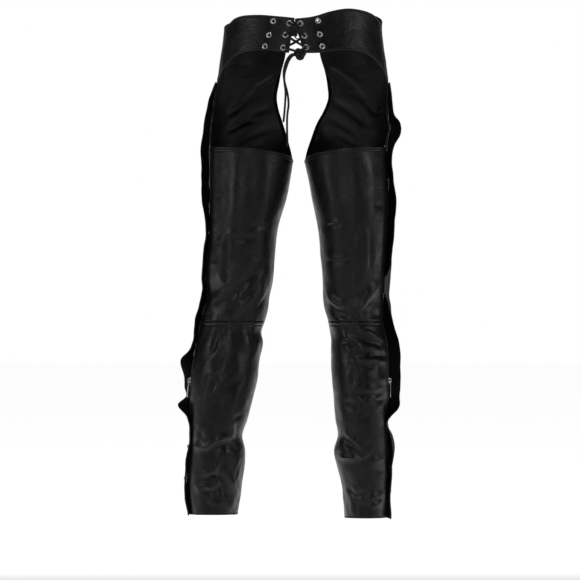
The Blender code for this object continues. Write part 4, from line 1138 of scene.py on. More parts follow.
def add_mesh(name: str, points: Points, faces: Sequence[Sequence[int]], *materials: Material) -> Piece:
    """Adds a softly shaded mesh from points in millimetres."""
    mesh = bpy.data.meshes.new(name)
    mesh.from_pydata((points * MM).tolist(), [], faces)
    mesh.shade_smooth()
    for material in materials:
        mesh.materials.append(material)
    return add_object(name, mesh)


def add_wall(
    name: str,
    walls: tuple[Points, Points],
    outside: Material,
    inside: Material,
    wear_and_shade: Points,
) -> Piece:
    """Adds a thin closed wall between an outer and an inner grid of points."""
    outer, inner = walls
    rows, columns = outer.shape[:2]
    count = rows * columns
    faces = grid_faces(rows, columns)
    border = grid_border(rows, columns)
    after = np.roll(border, -1)
    rim = np.stack([after, border, border + count, after + count], axis=1)
    under = faces[:, ::-1] + count
    middle = (rows // 2, columns // 2)
    across = outer[middle[0], middle[1] + 1] - outer[middle]
    down = outer[middle[0] + 1, middle[1]] - outer[middle]
    every = np.concatenate([faces, rim, under])
    if np.dot(np.cross(across, down), outer[middle] - inner[middle]) < 0:
        every = every[:, ::-1]
    points = np.concatenate([outer.reshape(-1, 3), inner.reshape(-1, 3)])
    piece = add_mesh(name, points, every.tolist(), outside, inside)
    piece.data.set_sharp_from_angle(angle=math.radians(WALL_SHARP))
    piece.data.polygons.foreach_set("material_index", np.repeat([0, 1], [len(faces) + len(rim), len(under)]))
    keep(piece, "wear_and_shade", np.tile(np.broadcast_to(wear_and_shade, (rows, columns)).ravel(), 2))
    return piece


def keep(piece: Piece, name: str, values: Points) -> None:
    """Keeps a value for each point of a mesh."""
    layer = piece.data.attributes.new(name, "FLOAT", "POINT")
    layer.data.foreach_set("value", np.asarray(values, np.float32))


@dataclass
class Assembly:
    """The parts of one hard piece, put together in millimetres."""

    shape: bmesh.types.BMesh = field(default_factory=bmesh.new)

    def add(self, points: Points, faces: Sequence[Sequence[int]], turn: Matrix = Matrix.Identity(4)) -> None:
        """Adds a part from its points and faces."""
        corners = [self.shape.verts.new(turn @ Vector(point)) for point in points]
        for face in faces:
            self.shape.faces.new([corners[number] for number in face])

    def add_turned(self, profile: Sequence[Place], sides: int, turn: Matrix = Matrix.Identity(4)) -> None:
        """Adds a part turned round Z from (radius, height) points; a point on the axis closes it."""
        angles = np.linspace(0, 2 * math.pi, sides, endpoint=False)
        points = [(r * math.cos(a), r * math.sin(a), h) for r, h in profile for a in angles]
        self.add(points, ring_faces(len(profile), sides), turn)

    def add_plate(
        self, loops: Sequence[Points], thickness: float, bevel: float, turn: Matrix = Matrix.Identity(4)
    ) -> None:
        """Adds a flat part with rounded edges from its outline and its holes."""
        curve = bpy.data.curves.new("plate", "CURVE")
        curve.dimensions = "2D"
        curve.fill_mode = "BOTH"
        curve.extrude = thickness / 2 - bevel
        curve.bevel_depth = bevel
        curve.bevel_resolution = 2
        curve.offset = -bevel
        for loop in loops:
            spline = curve.splines.new("POLY")
            spline.points.add(len(loop) - 1)
            spline.points.foreach_set("co", np.concatenate([loop, [[0.0, 1.0]] * len(loop)], axis=1).ravel())
            spline.use_cyclic_u = True
        holder = add_object("plate", curve)
        mesh = bpy.data.meshes.new_from_object(holder.evaluated_get(bpy.context.evaluated_depsgraph_get()))
        bpy.data.objects.remove(holder)
        bpy.data.curves.remove(curve)
        mesh.transform(turn)
        self.shape.from_mesh(mesh)
        bpy.data.meshes.remove(mesh)

    def finish(self, name: str, place: Matrix, material: Material) -> Piece:
        """Turns the parts into one piece, set at a place."""
        bmesh.ops.remove_doubles(self.shape, verts=self.shape.verts, dist=1e-4)
        bmesh.ops.recalc_face_normals(self.shape, faces=self.shape.faces)
        mesh = bpy.data.meshes.new(name)
        self.shape.to_mesh(mesh)
        self.shape.free()
        mesh.transform(Matrix.Scale(MM, 4) @ place)
        mesh.shade_smooth()
        mesh.set_sharp_from_angle(angle=math.radians(METAL_SHARP))
        mesh.materials.append(material)
        return add_object(name, mesh)


def rounded_box(wide: float, tall: float, radius: float, centre: Place = (0, 0), waist: float = 0) -> Points:
    """An outline with round corners, drawn in at its middle by a waist."""
    points = []
    for across, up, start in ((1, 1, 0), (-1, 1, 90), (-1, -1, 180), (1, -1, 270)):
        for turn in np.radians(np.linspace(start, start + 90, 7)):
            x = across * (wide / 2 - radius) + radius * math.cos(turn)
            y = up * (tall / 2 - radius) + radius * math.sin(turn)
            points.append((x, y))
        if waist and across == up:
            points.append((-up * (wide / 2 - waist), 0.0) if up > 0 else (wide / 2 - waist, 0.0))
    if waist:
        points = sorted(points, key=lambda point: math.atan2(point[1], point[0]))
    return np.array(points) + np.array(centre)


def tube(name: str, line: Points, radius: float, braid: float, material: Material, closed: bool) -> Piece:
    """A braided cord or a plain wire along a line.

    Args:
        name: the piece's name.
        line: points along its middle, in millimetres.
        radius: half its thickness.
        braid: how far its strands stand out, as a share of the radius.
        material: its material.
        closed: whether it ends where it starts.

    Returns:
        The new object.
    """
    count = len(line)
    both_ways = np.roll(line, -1, axis=0) - np.roll(line, 1, axis=0)
    course = unit(both_ways if closed else np.gradient(line, axis=0))
    side = np.cross(course[0], (0.31, 0.52, 0.8))
    frames = []
    for direction in course:
        side = side - direction * np.dot(side, direction)
        side /= np.linalg.norm(side)
        frames.append((side, np.cross(direction, side)))
    frames = np.array(frames)
    twist = 0.0
    if closed:
        last = frames[-1, 0] - course[0] * np.dot(frames[-1, 0], course[0])
        twist = math.atan2(np.dot(last, frames[0, 1]), np.dot(last, frames[0, 0]))
    angles = np.linspace(0, 2 * math.pi, TUBE_SIDES, endpoint=False)
    run = run_of(line)[:, None]
    turn = angles[None, :] - twist * np.arange(count)[:, None] / count
    crossing, along = BRAID_STRANDS * turn, run * BRAID_PITCH
    strands = np.cos(crossing + along) * np.cos(crossing - along)
    reach = radius * (1 + braid * strands)
    if not closed:
        reach = reach * np.clip(0.35 + 0.65 * np.minimum(run, run[-1] - run) / radius, 0, 1)
    around = np.cos(turn)[..., None] * frames[:, None, 0] + np.sin(turn)[..., None] * frames[:, None, 1]
    points = (line[:, None] + around * reach[..., None]).reshape(-1, 3)
    faces = ring_faces(count, TUBE_SIDES, closed)
    if not closed:
        faces.append(tuple(reversed(range(TUBE_SIDES))))
        faces.append(tuple(range((count - 1) * TUBE_SIDES, count * TUBE_SIDES)))
    piece = add_mesh(name, points, faces, material)
    # The strands' crests get a high value and the grooves a low one: rubbing on the crests, painted shade in
    # the grooves.
    keep(piece, "wear_and_shade", np.clip(0.5 + 0.5 * strands, 0, 1).ravel())
    return piece


@dataclass
class Stitching:
    """Rows of stitches, gathered into one piece."""

    pitch: float = 4.0
    long: float = 2.9
    radius: float = 0.36
    points: list[Points] = field(default_factory=list)
    faces: list[Points] = field(default_factory=list)

    def row(self, line: Points, outward: Points) -> None:
        """Sews one row along a line on the leather."""
        run = run_of(line)
        places = np.arange(self.pitch / 2, run[-1], self.pitch)
        if not len(places):
            return
        middle = read_at(line, run, places)
        course = unit(read_at(line, run, places + 0.5) - read_at(line, run, places - 0.5))
        up = read_at(outward, run, places)
        up = unit(up - course * np.sum(up * course, axis=1)[:, None])
        beside = np.cross(course, up)
        turns = np.linspace(0, 2 * math.pi, 6, endpoint=False)
        ring = np.stack([np.cos(turns), np.sin(turns)], axis=1) * self.radius
        shape = [(-self.long / 2, 0, -self.radius)]
        shape += [(-self.long * 0.32, across, rise) for across, rise in ring]
        shape += [(self.long * 0.32, across, rise) for across, rise in ring]
        shape += [(self.long / 2, 0, -self.radius)]
        shape = np.array(shape)
        frames = np.stack([course, beside, up], axis=1)
        stitches = middle[:, None] + np.einsum("sk,nkd->nsd", shape, frames)
        faces = [(0, 1 + (n + 1) % 6, 1 + n, 1 + n) for n in range(6)]
        faces += [(1 + n, 1 + (n + 1) % 6, 7 + (n + 1) % 6, 7 + n) for n in range(6)]
        faces += [(13, 7 + n, 7 + (n + 1) % 6, 7 + (n + 1) % 6) for n in range(6)]
        start = sum(len(part) for part in self.points)
        firsts = start + np.arange(len(places)) * len(shape)
        self.points.append(stitches.reshape(-1, 3))
        self.faces.append((firsts[:, None, None] + np.array(faces)).reshape(-1, 4))

    def on_leg(self, leg: Leg, heights: Points, angles: Points, lift: float = 0.0) -> None:
        """Sews a row along heights and angles on a leg."""
        heights, angles = np.broadcast_arrays(heights, angles)
        self.row(leg.surface(heights, angles, lift), leg.outward(heights, angles))

    def finish(self, name: str, material: Material) -> Piece:
        """Turns the rows into one piece."""
        faces = [tuple(dict.fromkeys(face)) for face in np.concatenate(self.faces).tolist()]
        piece = add_mesh(name, np.concatenate(self.points), faces, material)
        return dress(piece, "garment", Slot.LEATHER)


def dress(piece: Piece, body: str, slot: Slot, *nodes: str) -> Piece:
    """Puts a piece on a body and hides the plain parts that it stands for."""
    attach(piece, body)
    if nodes:
        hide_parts(*nodes)
    return piece


def dress_cloth(piece: Piece, slot: Slot, node: str) -> Piece:
    """Dresses a cloth piece."""
    dress(piece, "garment", slot, node)
    return piece


@dataclass
class Workshop:
    """What every maker of the garment shares: the finishes and the thread."""

    finishes: Finishes
    stitching: Stitching

    def leather_wall(self, name: str, patch: Patch, node: str, bare: bool = False) -> Piece:
        """Adds a leather panel in the place of a plain one.

        Args:
            name: the piece's name.
            patch: the grid that the panel covers.
            node: the plain part that it stands for.
            bare: whether its inner face is smooth leather too.

        Returns:
            The panel.
        """
        walls = patch.walls()
        inside = self.finishes.leather if bare else self.finishes.flesh
        piece = add_wall(name, walls, self.finishes.leather, inside, patch.wear_and_shade())
        return dress_cloth(piece, Slot.LEATHER, node)


@dataclass
class LegWork:
    """Work on one leg: every piece that lies on it is made by one of these."""

    shop: Workshop
    leg: Leg

    def sew_at(self, levels: Points, angles: Points, lift: float) -> None:
        """Sews a row at levels and angles on the piece."""
        self.shop.stitching.on_leg(self.leg, self.heights_at(levels, angles), angles, lift)

    def heights_at(self, levels: Points, angles: Points) -> Points:
        """The levels as they are, for a piece without a rim."""
        return levels + 0 * angles


@dataclass
class FrontLeg(LegWork):
    """The front leg panel, whose course of heights its lining and the storm flap's sewn edge share."""

    yoke_fade: float = 100.0
    inseam_row: float = 3.0

    def heights_at(self, levels: Points, angles: Points) -> Points:
        """Heights that follow the front yoke's lower edge at the top and the hem at the bottom."""
        return self.leg.under(FRONT_YOKE_BOTTOM, WAIST_SEAM, self.yoke_fade, levels, angles)

    def build(self) -> None:
        """Builds the panel and its stitches."""
        leg = self.leg
        rows, levels = rows_down(WAIST_SEAM, leg.hem, SEWN, TURNED)
        columns = spread(FRONT_WIDE, TURNED, TURNED, CELL)
        first = leg.from_zip(levels, -ZIP_HALF_SLOT)
        last = leg.crotch_angle(levels, GAP / 2)
        steps = leg.angle_per_mm(levels, ZIP_ANGLE), leg.angle_per_mm(levels, last)
        angles = columns.between(first, last, -steps[0], -steps[1])
        open_edge = eased(levels, CROTCH - 4, CROTCH + 4)
        inseam = columns.from_last + 0 * levels
        edges = (
            *edges_of(rows, columns, SEWN, TURNED, TURNED),
            (TURNED, np.where(open_edge > 0.5, inseam, FAR)),
            (SEWN, np.where(open_edge > 0.5, FAR, inseam)),
        )
        patch = Patch(leg, self.heights_at(levels, angles), angles, edges)
        self.shop.leather_wall(f"front_leg_panel_{leg.name}", patch, f"front_leg_{leg.name}")
        self.sew(levels[:, 0])

    def sew(self, levels: Points) -> None:
        """Sews the crotch edge, the hem and the inseam."""
        leg = self.leg
        opening = levels[levels > CROTCH + 2]
        self.sew_at(opening, leg.crotch_angle(opening, GAP / 2 + TURNED_ROW), STITCH_SUNK)
        inseam = levels[(levels < CROTCH - END_CLEAR) & (levels > leg.hem + END_CLEAR)]
        self.sew_at(inseam, leg.crotch_angle(inseam, self.inseam_row), STITCH_PROUD)
        level = np.full(HEM_STEPS, leg.hem + TURNED_ROW)
        ends = leg.from_zip(leg.hem, -ZIP_HALF_SLOT - ZIP_CLEAR), leg.crotch_angle(leg.hem, 4.0)
        angles = np.linspace(float(ends[0]), float(ends[1]), HEM_STEPS)
        self.shop.stitching.on_leg(leg, leg.at_the_hem(level, angles), angles, STITCH_SUNK)


@dataclass
class Lining(LegWork):
    """The cloth lining inside the front leg panel, to just above the knee."""

    end: float = -592.0
    top: float = -66.0
    inset: float = 1.5

    def build(self) -> None:
        """Builds the lining, whose folds hang inward only."""
        leg = self.leg
        rows, levels = rows_down(self.top, self.end, HEMMED, HEMMED)
        columns = spread(FRONT_WIDE - FLAP_ROOT[0] - EDGE_FOLD, HEMMED, HEMMED, CELL)
        first = leg.from_zip(levels, -FLAP_ROOT[0])
        inset = self.inset + (EDGE_FOLD - self.inset) * eased(WAIST_SEAM - levels, 4, 30)
        last = leg.crotch_angle(levels, inset)
        steps = leg.angle_per_mm(levels, ZIP_ANGLE), leg.angle_per_mm(levels, last)
        angles = columns.between(first, last, -steps[0], -steps[1])
        heights = FrontLeg(self.shop, leg).heights_at(levels, angles)
        out = leg.side * leg.smooth_surface(heights, angles)[..., 0]
        folds = sum(crease.rise_at(out, heights) for crease in leg.lining_creases)
        edge = np.minimum(columns.from_first, columns.from_last)
        edge = np.minimum(np.minimum(rows.from_first, rows.from_last)[:, None], edge)
        inward = np.maximum(-folds, 0) * eased(edge + 0 * folds, 0, 9)
        outer = leg.surface(heights, angles, -LEATHER - GAP - inward)
        inner = leg.surface(heights, angles, -LEATHER - GAP - LINING - inward)
        cloth = self.shop.finishes.lining
        piece = add_wall(f"front_lining_{leg.name}", (outer, inner), cloth, cloth, np.zeros((1, 1)))
        dress_cloth(piece, Slot.LINING, f"lining_{leg.name}")


@dataclass
class BackPanel(LegWork):
    """A back leg panel: the thigh under the open seat, or the calf under the knee seam."""

    name: str
    top: float
    bottom: float
    opening: Profile
    closing: Profile
    seat_fade: float = 150.0
    back_wide: float = 240.0
    painted_highlight_line: float = 17.0
    painted_highlight_reach: float = 4.5
    second_row: float = 5.0
    stitch_on_lap: Place = (1.0, -0.65)
    lapped_rows: Place = (2.0, 8.55)

    def heights_at(self, levels: Points, angles: Points) -> Points:
        """Heights that follow the seat's rim at the top and the hem at the bottom."""
        return self.leg.under(SEAT_RIM, SEAT_EDGE, self.seat_fade, levels, angles)

    def build(self) -> None:
        """Builds the panel and its stitches."""
        leg = self.leg
        rows, levels = rows_down(self.top, self.bottom, self.opening, self.closing)
        columns = spread(self.back_wide, TURNED, SEWN, CELL)
        first = leg.from_zip(levels, ZIP_HALF_SLOT)
        inseam_step = leg.angle_per_mm(levels, math.pi)
        last = math.pi - GAP / 2 * inseam_step
        angles = columns.between(first, last, leg.angle_per_mm(levels, ZIP_ANGLE), inseam_step)
        edges = edges_of(rows, columns, self.opening, self.closing, TURNED, SEWN)
        patch = Patch(leg, self.heights_at(levels, angles), angles, edges)
        piece = self.shop.leather_wall(f"{self.name}_panel_{leg.name}", patch, f"{self.name}_{leg.name}")
        # Painted highlight: a pale line a little in from the zip edge, on the left thigh only, kept as the
        # mesh's pale value.
        line = np.exp(-(((columns.from_first - self.painted_highlight_line) / self.painted_highlight_reach) ** 2))
        line = line * eased(levels, *leg.painted_highlight_line) * eased(-levels, -SEAT_EDGE + 4, -SEAT_EDGE + 12)
        keep(piece, "pale", np.tile(line.ravel(), 2))
        self.sew(levels[:, 0])

    def row_across(self, height: float, lift: float) -> None:
        """Sews a row across the panel at a height."""
        leg = self.leg
        first = leg.from_zip(height, ZIP_HALF_SLOT + ZIP_CLEAR)
        last = math.pi - SEWN_ROW * leg.angle_per_mm(height, math.pi)
        angles = np.linspace(float(first), float(last), HEM_STEPS)
        self.sew_at(np.full(HEM_STEPS, height), angles, lift)

    def sew(self, levels: Points) -> None:
        """Sews the turned edges, the knee seam and the zip's edge."""
        inside = levels[(levels < self.top - END_CLEAR) & (levels > self.bottom + END_CLEAR)]
        self.sew_at(inside, self.leg.from_zip(inside, ZIP_HALF_SLOT + TURNED_ROW), STITCH_SUNK)
        if self.opening is LAPPED:
            for row in self.lapped_rows:
                self.row_across(self.top - row, self.stitch_on_lap[self.lapped_rows.index(row)])
        else:
            self.row_across(self.top - TURNED_ROW, STITCH_SUNK)
            self.row_across(self.top - TURNED_ROW - self.second_row, STITCH_SUNK)
        if self.closing is TURNED:
            self.row_across(self.bottom + TURNED_ROW, STITCH_SUNK)


class YokeRims(NamedTuple):
    """A yoke part's edges, the gap under its lower edge and a height between them."""

    lower: tuple[Rim, ...]
    upper: tuple[Rim, ...]
    gap: float
    middle: float


@dataclass
class Yoke(LegWork):
    """A leg's half of the waist yoke: a front and a back part that meet at the side seam."""

    cell: float = 3.0
    side_low: float = -115.0
    lacing_middle: float = -20.0
    eyelet_hole: float = 3.9
    back_wide: float = 190.0
    tall: float = 100.0
    back_tall: float = 75.0
    rounds: int = 4
    dimple: float = 0.3
    dimple_reach: float = 7.5

    def build(self) -> None:
        """Builds both parts."""
        self.build_front()
        self.build_back()

    def end_at(self, face: int, heights: Points) -> Points:
        """The angle of a part's free end at heights."""
        if face == FRONT:
            return self.leg.crotch_angle(heights, GAP / 2)
        return self.leg.angle_of(curve_at(self.leg.lacing_edge, "out", heights), heights, BACK)

    def fit(self, face: int, rims: YokeRims, rows: Spread, columns: Spread) -> tuple[Points, Points]:
        """Fits a part's grid between its rims and its ends, which depend on each other.

        Args:
            face: the side of the body that the part lies on.
            rims: its lower and upper edges, the lift of the lower one and a height to start from.
            rows: its rows.
            columns: its columns.

        Returns:
            The heights and the angles.
        """
        leg = self.leg
        start = float(leg.from_zip(self.side_low, face * GAP / 2))
        angles = np.linspace(start, float(self.end_at(face, rims.middle)), len(columns.shares))[None, :]
        shares = rows.shares[:, None]
        for _ in range(self.rounds):
            top = curve_at(rims.upper, "height", np.degrees(angles))
            bottom = curve_at(rims.lower, "height", np.degrees(angles)) + rims.gap
            even = bottom * (1 - shares) + top * shares
            heights = even + rows.first_offsets[:, None] - rows.last_offsets[:, None]
            end = self.end_at(face, heights[:, -1:])
            step = leg.angle_per_mm(heights[:, :1], start), leg.angle_per_mm(heights[:, -1:], end)
            angles = columns.between(start, end, face * step[0], face * step[1])
        return heights, angles

    def build_front(self) -> None:
        """Builds the front part; its inner face shows through the open seat."""
        leg = self.leg
        rows = spread(self.tall, SEWN, TURNED, self.cell)
        columns = spread(FRONT_WIDE, SEWN, TURNED, self.cell)
        rims = YokeRims(FRONT_YOKE_BOTTOM, leg.front_top, GAP, WAIST_SEAM)
        heights, angles = self.fit(FRONT, rims, rows, columns)
        patch = Patch(leg, heights, angles, edges_of(rows, columns, SEWN, TURNED, SEWN, TURNED))
        self.shop.leather_wall(f"front_waist_{leg.name}", patch, f"front_yoke_{leg.name}", bare=True)
        self.sew(heights, angles, rows, columns, SEWN)

    def sew(self, heights: Points, angles: Points, rows: Spread, columns: Spread, lower: Profile) -> None:
        """Sews a row inside each edge of one part."""
        row = int(np.argmin(abs(rows.from_last - TURNED_ROW)))
        column = int(np.argmin(abs(columns.from_last - TURNED_ROW)))
        inside = slice(2, column)
        stitching = self.shop.stitching
        stitching.on_leg(self.leg, heights[row, inside], angles[row, inside], STITCH_SUNK)
        stitching.on_leg(self.leg, heights[6:row, column], angles[6:row, column], STITCH_SUNK)
        place, lift = (TURNED_ROW, STITCH_SUNK) if lower is TURNED else (SEWN_ROW, STITCH_PROUD)
        row = int(np.argmin(abs(rows.from_first - place)))
        stitching.on_leg(self.leg, heights[row, inside], angles[row, inside], lift)

    def build_back(self) -> None:
        """Builds the back part, with its eyelets."""
        leg = self.leg
        rows = spread(self.back_tall, TURNED, TURNED, self.cell)
        columns = spread(self.back_wide, SEWN, TURNED, self.cell)
        rims = YokeRims(BACK_YOKE_BOTTOM, leg.yoke_top, 0.0, self.lacing_middle)
        heights, angles = self.fit(BACK, rims, rows, columns)
        patch = Patch(leg, heights, angles, edges_of(rows, columns, TURNED, TURNED, SEWN, TURNED))
        places = [leg.eyelet_frame(number) for number in range(len(leg.eyelets))]
        walls = patch.walls()
        dimple = np.zeros(heights.shape)
        for place in places:
            away = np.linalg.norm(walls[0] - np.array(place.translation), axis=2)
            dimple -= self.dimple * np.exp(-((away / self.dimple_reach) ** 2))
        walls = patch.walls(extra=dimple)
        name = f"back_waist_{leg.name}"
        piece = add_wall(name, walls, self.shop.finishes.leather, self.shop.finishes.flesh, patch.wear_and_shade())
        self.punch(piece, places)
        dress_cloth(piece, Slot.LEATHER, f"back_yoke_{leg.name}")
        self.sew(heights, angles, rows, columns, TURNED)
        for number, place in enumerate(places, start=1):
            Eyelet(self.shop, f"{leg.name}_{number}").build(place)

    def punch(self, piece: Piece, places: Sequence[Matrix]) -> None:
        """Cuts the eyelets' holes."""
        drill = Assembly()
        radius = self.eyelet_hole
        for place in places:
            drill.add_turned(((0, -4), (radius, -4), (radius, 4), (0, 4)), EYELET_SIDES, place)
        cutter = drill.finish("drill", Matrix.Identity(4), self.shop.finishes.leather)
        hole = piece.modifiers.new("holes", "BOOLEAN")
        hole.object = cutter
        hole.solver = "EXACT"
        cut = bpy.data.meshes.new_from_object(piece.evaluated_get(bpy.context.evaluated_depsgraph_get()))
        piece.modifiers.clear()
        piece.data = cut
        bpy.data.objects.remove(cutter)


@dataclass
class Eyelet:
    """A rolled metal eyelet through the yoke."""

    shop: Workshop
    name: str
    roll: tuple[Place, ...] = (
        (6.0, 0.92), (6.08, 1.15), (5.8, 1.5), (5.1, 1.8), (4.4, 1.72), (3.7, 1.35), (3.15, 0.85),
        (2.8, 0.2),
    )
    barrel: float = 3.55

    def build(self, place: Matrix) -> None:
        """Builds the eyelet round a place in the middle of the leather."""
        under = [(radius, -height) for radius, height in reversed(self.roll)]
        back = [(self.barrel, under[-1][1]), (self.barrel, self.roll[0][1]), self.roll[0]]
        metal = Assembly()
        metal.add_turned([*self.roll, *under, *back], EYELET_SIDES)
        piece = metal.finish(f"eyelet_ring_{self.name}", place, self.shop.finishes.eyelet_metal)
        dress(piece, "garment", Slot.EYELET_METAL, f"eyelet_{self.name}")


@dataclass
class StormFlap(LegWork):
    """The storm flap, sewn on before the zip, that lies or stands over it."""

    wide: float = 24.0
    cell: float = 3.0
    steps: int = 181
    bend: float = 2.6
    swell: float = 0.35

    def course(self, height: float, along: Points) -> tuple[Points, Points]:
        """The flap's middle line and its outer side's directions at a height.

        Args:
            height: a height on the sewn edge.
            along: distances from the sewn edge to the free edge.

        Returns:
            The points and the directions.
        """
        leg = self.leg
        lap = FLAP_ROOT[0] - FLAP_ROOT[1]
        near = leg.surface(height, leg.from_zip(height, -FLAP_ROOT[0]), GAP + LEATHER / 2)
        hinge = leg.surface(height, leg.from_zip(height, -FLAP_ROOT[1]), GAP + LEATHER / 2)
        outward = leg.outward(height, leg.from_zip(height, -FLAP_ROOT[1]))
        level = (hinge - near) / np.linalg.norm(hinge - near)
        root = math.radians(float(curve_at(leg.lean, "root", height)))
        free = math.radians(float(curve_at(leg.lean, "free", height)))
        fine = np.linspace(0, lap + self.wide, self.steps)
        turn = root * np.clip((fine - lap) / self.bend + 0.5, 0, 1)
        turn = turn + (free - root) * np.clip((fine - lap) / self.wide, 0, 1)
        step = fine[1]
        forward, rising = (
            np.concatenate([[0], np.cumsum((share[1:] + share[:-1]) / 2 * step)])
            for share in (np.cos(turn), np.sin(turn))
        )
        turns = np.interp(along, fine, turn)[:, None]
        points = near + np.interp(along, fine, forward)[:, None] * level
        points = points + np.interp(along, fine, rising)[:, None] * outward
        return points, outward * np.cos(turns) - level * np.sin(turns)

    def build(self) -> None:
        """Builds the flap, its stitches and its snaps."""
        leg = self.leg
        rows, levels = rows_down(WAIST_SEAM, leg.hem, TURNED, TURNED)
        wide = FLAP_ROOT[0] - FLAP_ROOT[1] + self.wide
        columns = spread(wide, SEWN, TURNED, self.cell)
        along = columns.between(0.0, wide, 1.0, 1.0)
        heights = FrontLeg(self.shop, leg).heights_at(levels, leg.from_zip(levels, -ZIP_HALF_SLOT))[:, 0]
        courses = [self.course(float(height), along) for height in heights]
        middle = np.array([points for points, _ in courses])
        sides = np.array([directions for _, directions in courses])
        lifts, away = edge_lifts(edges_of(rows, columns, TURNED, TURNED, SEWN, TURNED))
        wave = self.wave(heights, along)
        outer = middle + sides * (LEATHER / 2 + lifts + wave)[..., None]
        inner = middle - sides * (LEATHER / 2 - wave)[..., None]
        # Rubbed paler near the edges; the swells' crests paler and their troughs darker as painted light and
        # shade.
        wear_and_shade = np.clip(0.25 + 0.55 * np.exp(-away / 3) + 0.3 * np.clip(wave, -1, 1), 0, 1)
        name = f"storm_flap_{leg.name}"
        piece = add_wall(name, (outer, inner), self.shop.finishes.leather, self.shop.finishes.flesh, wear_and_shade)
        # Painted light: both faces of the flap painted pale from a share of its width outward, at the
        # heights that the leg's table gives.
        share = np.clip((along - FLAP_ROOT[0] + FLAP_ROOT[1]) / self.wide, 0, 1)[None, :]
        start = curve_at(leg.painted_flap_highlight, "share", heights)[:, None]
        keep(piece, "pale", np.tile(eased(share - start, 0, 0.12).ravel(), 2))
        dress_cloth(piece, Slot.LEATHER, f"flap_{leg.name}")
        free_row, sewn_row = columns.from_last - TURNED_ROW, along - SEWN_ROW
        for away, lift in ((free_row, STITCH_SUNK), (sewn_row, STITCH_PROUD)):
            column = int(np.argmin(abs(away)))
            up = sides[4:-4, column]
            self.shop.stitching.row(outer[4:-4, column] + up * lift, up)
        for number in range(1, 4):
            self.add_snap(f"snap_{leg.name}_{number}", outer, sides)

    def wave(self, heights: Points, along: Points) -> Points:
        """Shallow swells along the flap's free part."""
        chance = np.random.default_rng(self.leg.seed + 5)
        free = eased(along, 8, self.wide)[None, :]
        total = np.zeros((len(heights), 1))
        for _ in range(6):
            swell = heights[:, None] * 2 * math.pi / chance.uniform(24, 90)
            total = total + np.sin(swell + chance.uniform(0, 2 * math.pi))
        return total / 3 * self.swell * free

    def add_snap(self, node: str, outer: Points, sides: Points) -> None:
        """Adds a snap where its plain part sits, seated on the flap's outer side."""
        low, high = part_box(node)
        middle = (np.array(low) + np.array(high)) / 2 / MM
        away = np.linalg.norm(outer - middle, axis=2)
        row, column = np.unravel_index(away.argmin(), away.shape)
        outward = Vector(sides[row, column])
        beside = Vector(outer[row, column + 1] - outer[row, column])
        level = (beside - outward * beside.dot(outward)).normalized()
        offset = Vector(middle) - Vector(outer[row, column])
        place = Vector(outer[row, column]) + offset - outward * offset.dot(outward)
        Snap(self.shop, node).build(standing(place, outward, level))


@dataclass
class Snap:
    """A snap's domed cap."""

    shop: Workshop
    node: str
    profile: tuple[Place, ...] = (
        (0.0, -0.4), (4.6, -0.4), (5.35, 0.1), (5.55, 0.6), (5.4, 1.0), (4.9, 1.25), (4.5, 1.35), (4.2, 1.6),
        (3.4, 2.0), (2.2, 2.3), (1.0, 2.42), (0.0, 2.45),
    )
    sides: int = 40

    def build(self, place: Matrix) -> None:
        """Builds the cap on the leather's face."""
        metal = Assembly()
        metal.add_turned(self.profile, self.sides, Matrix.Identity(4))
        name = self.node.replace("snap", "snap_cap")
        piece = metal.finish(name, place, self.shop.finishes.snap_metal)
        dress(piece, "garment", Slot.SNAP_METAL, self.node)


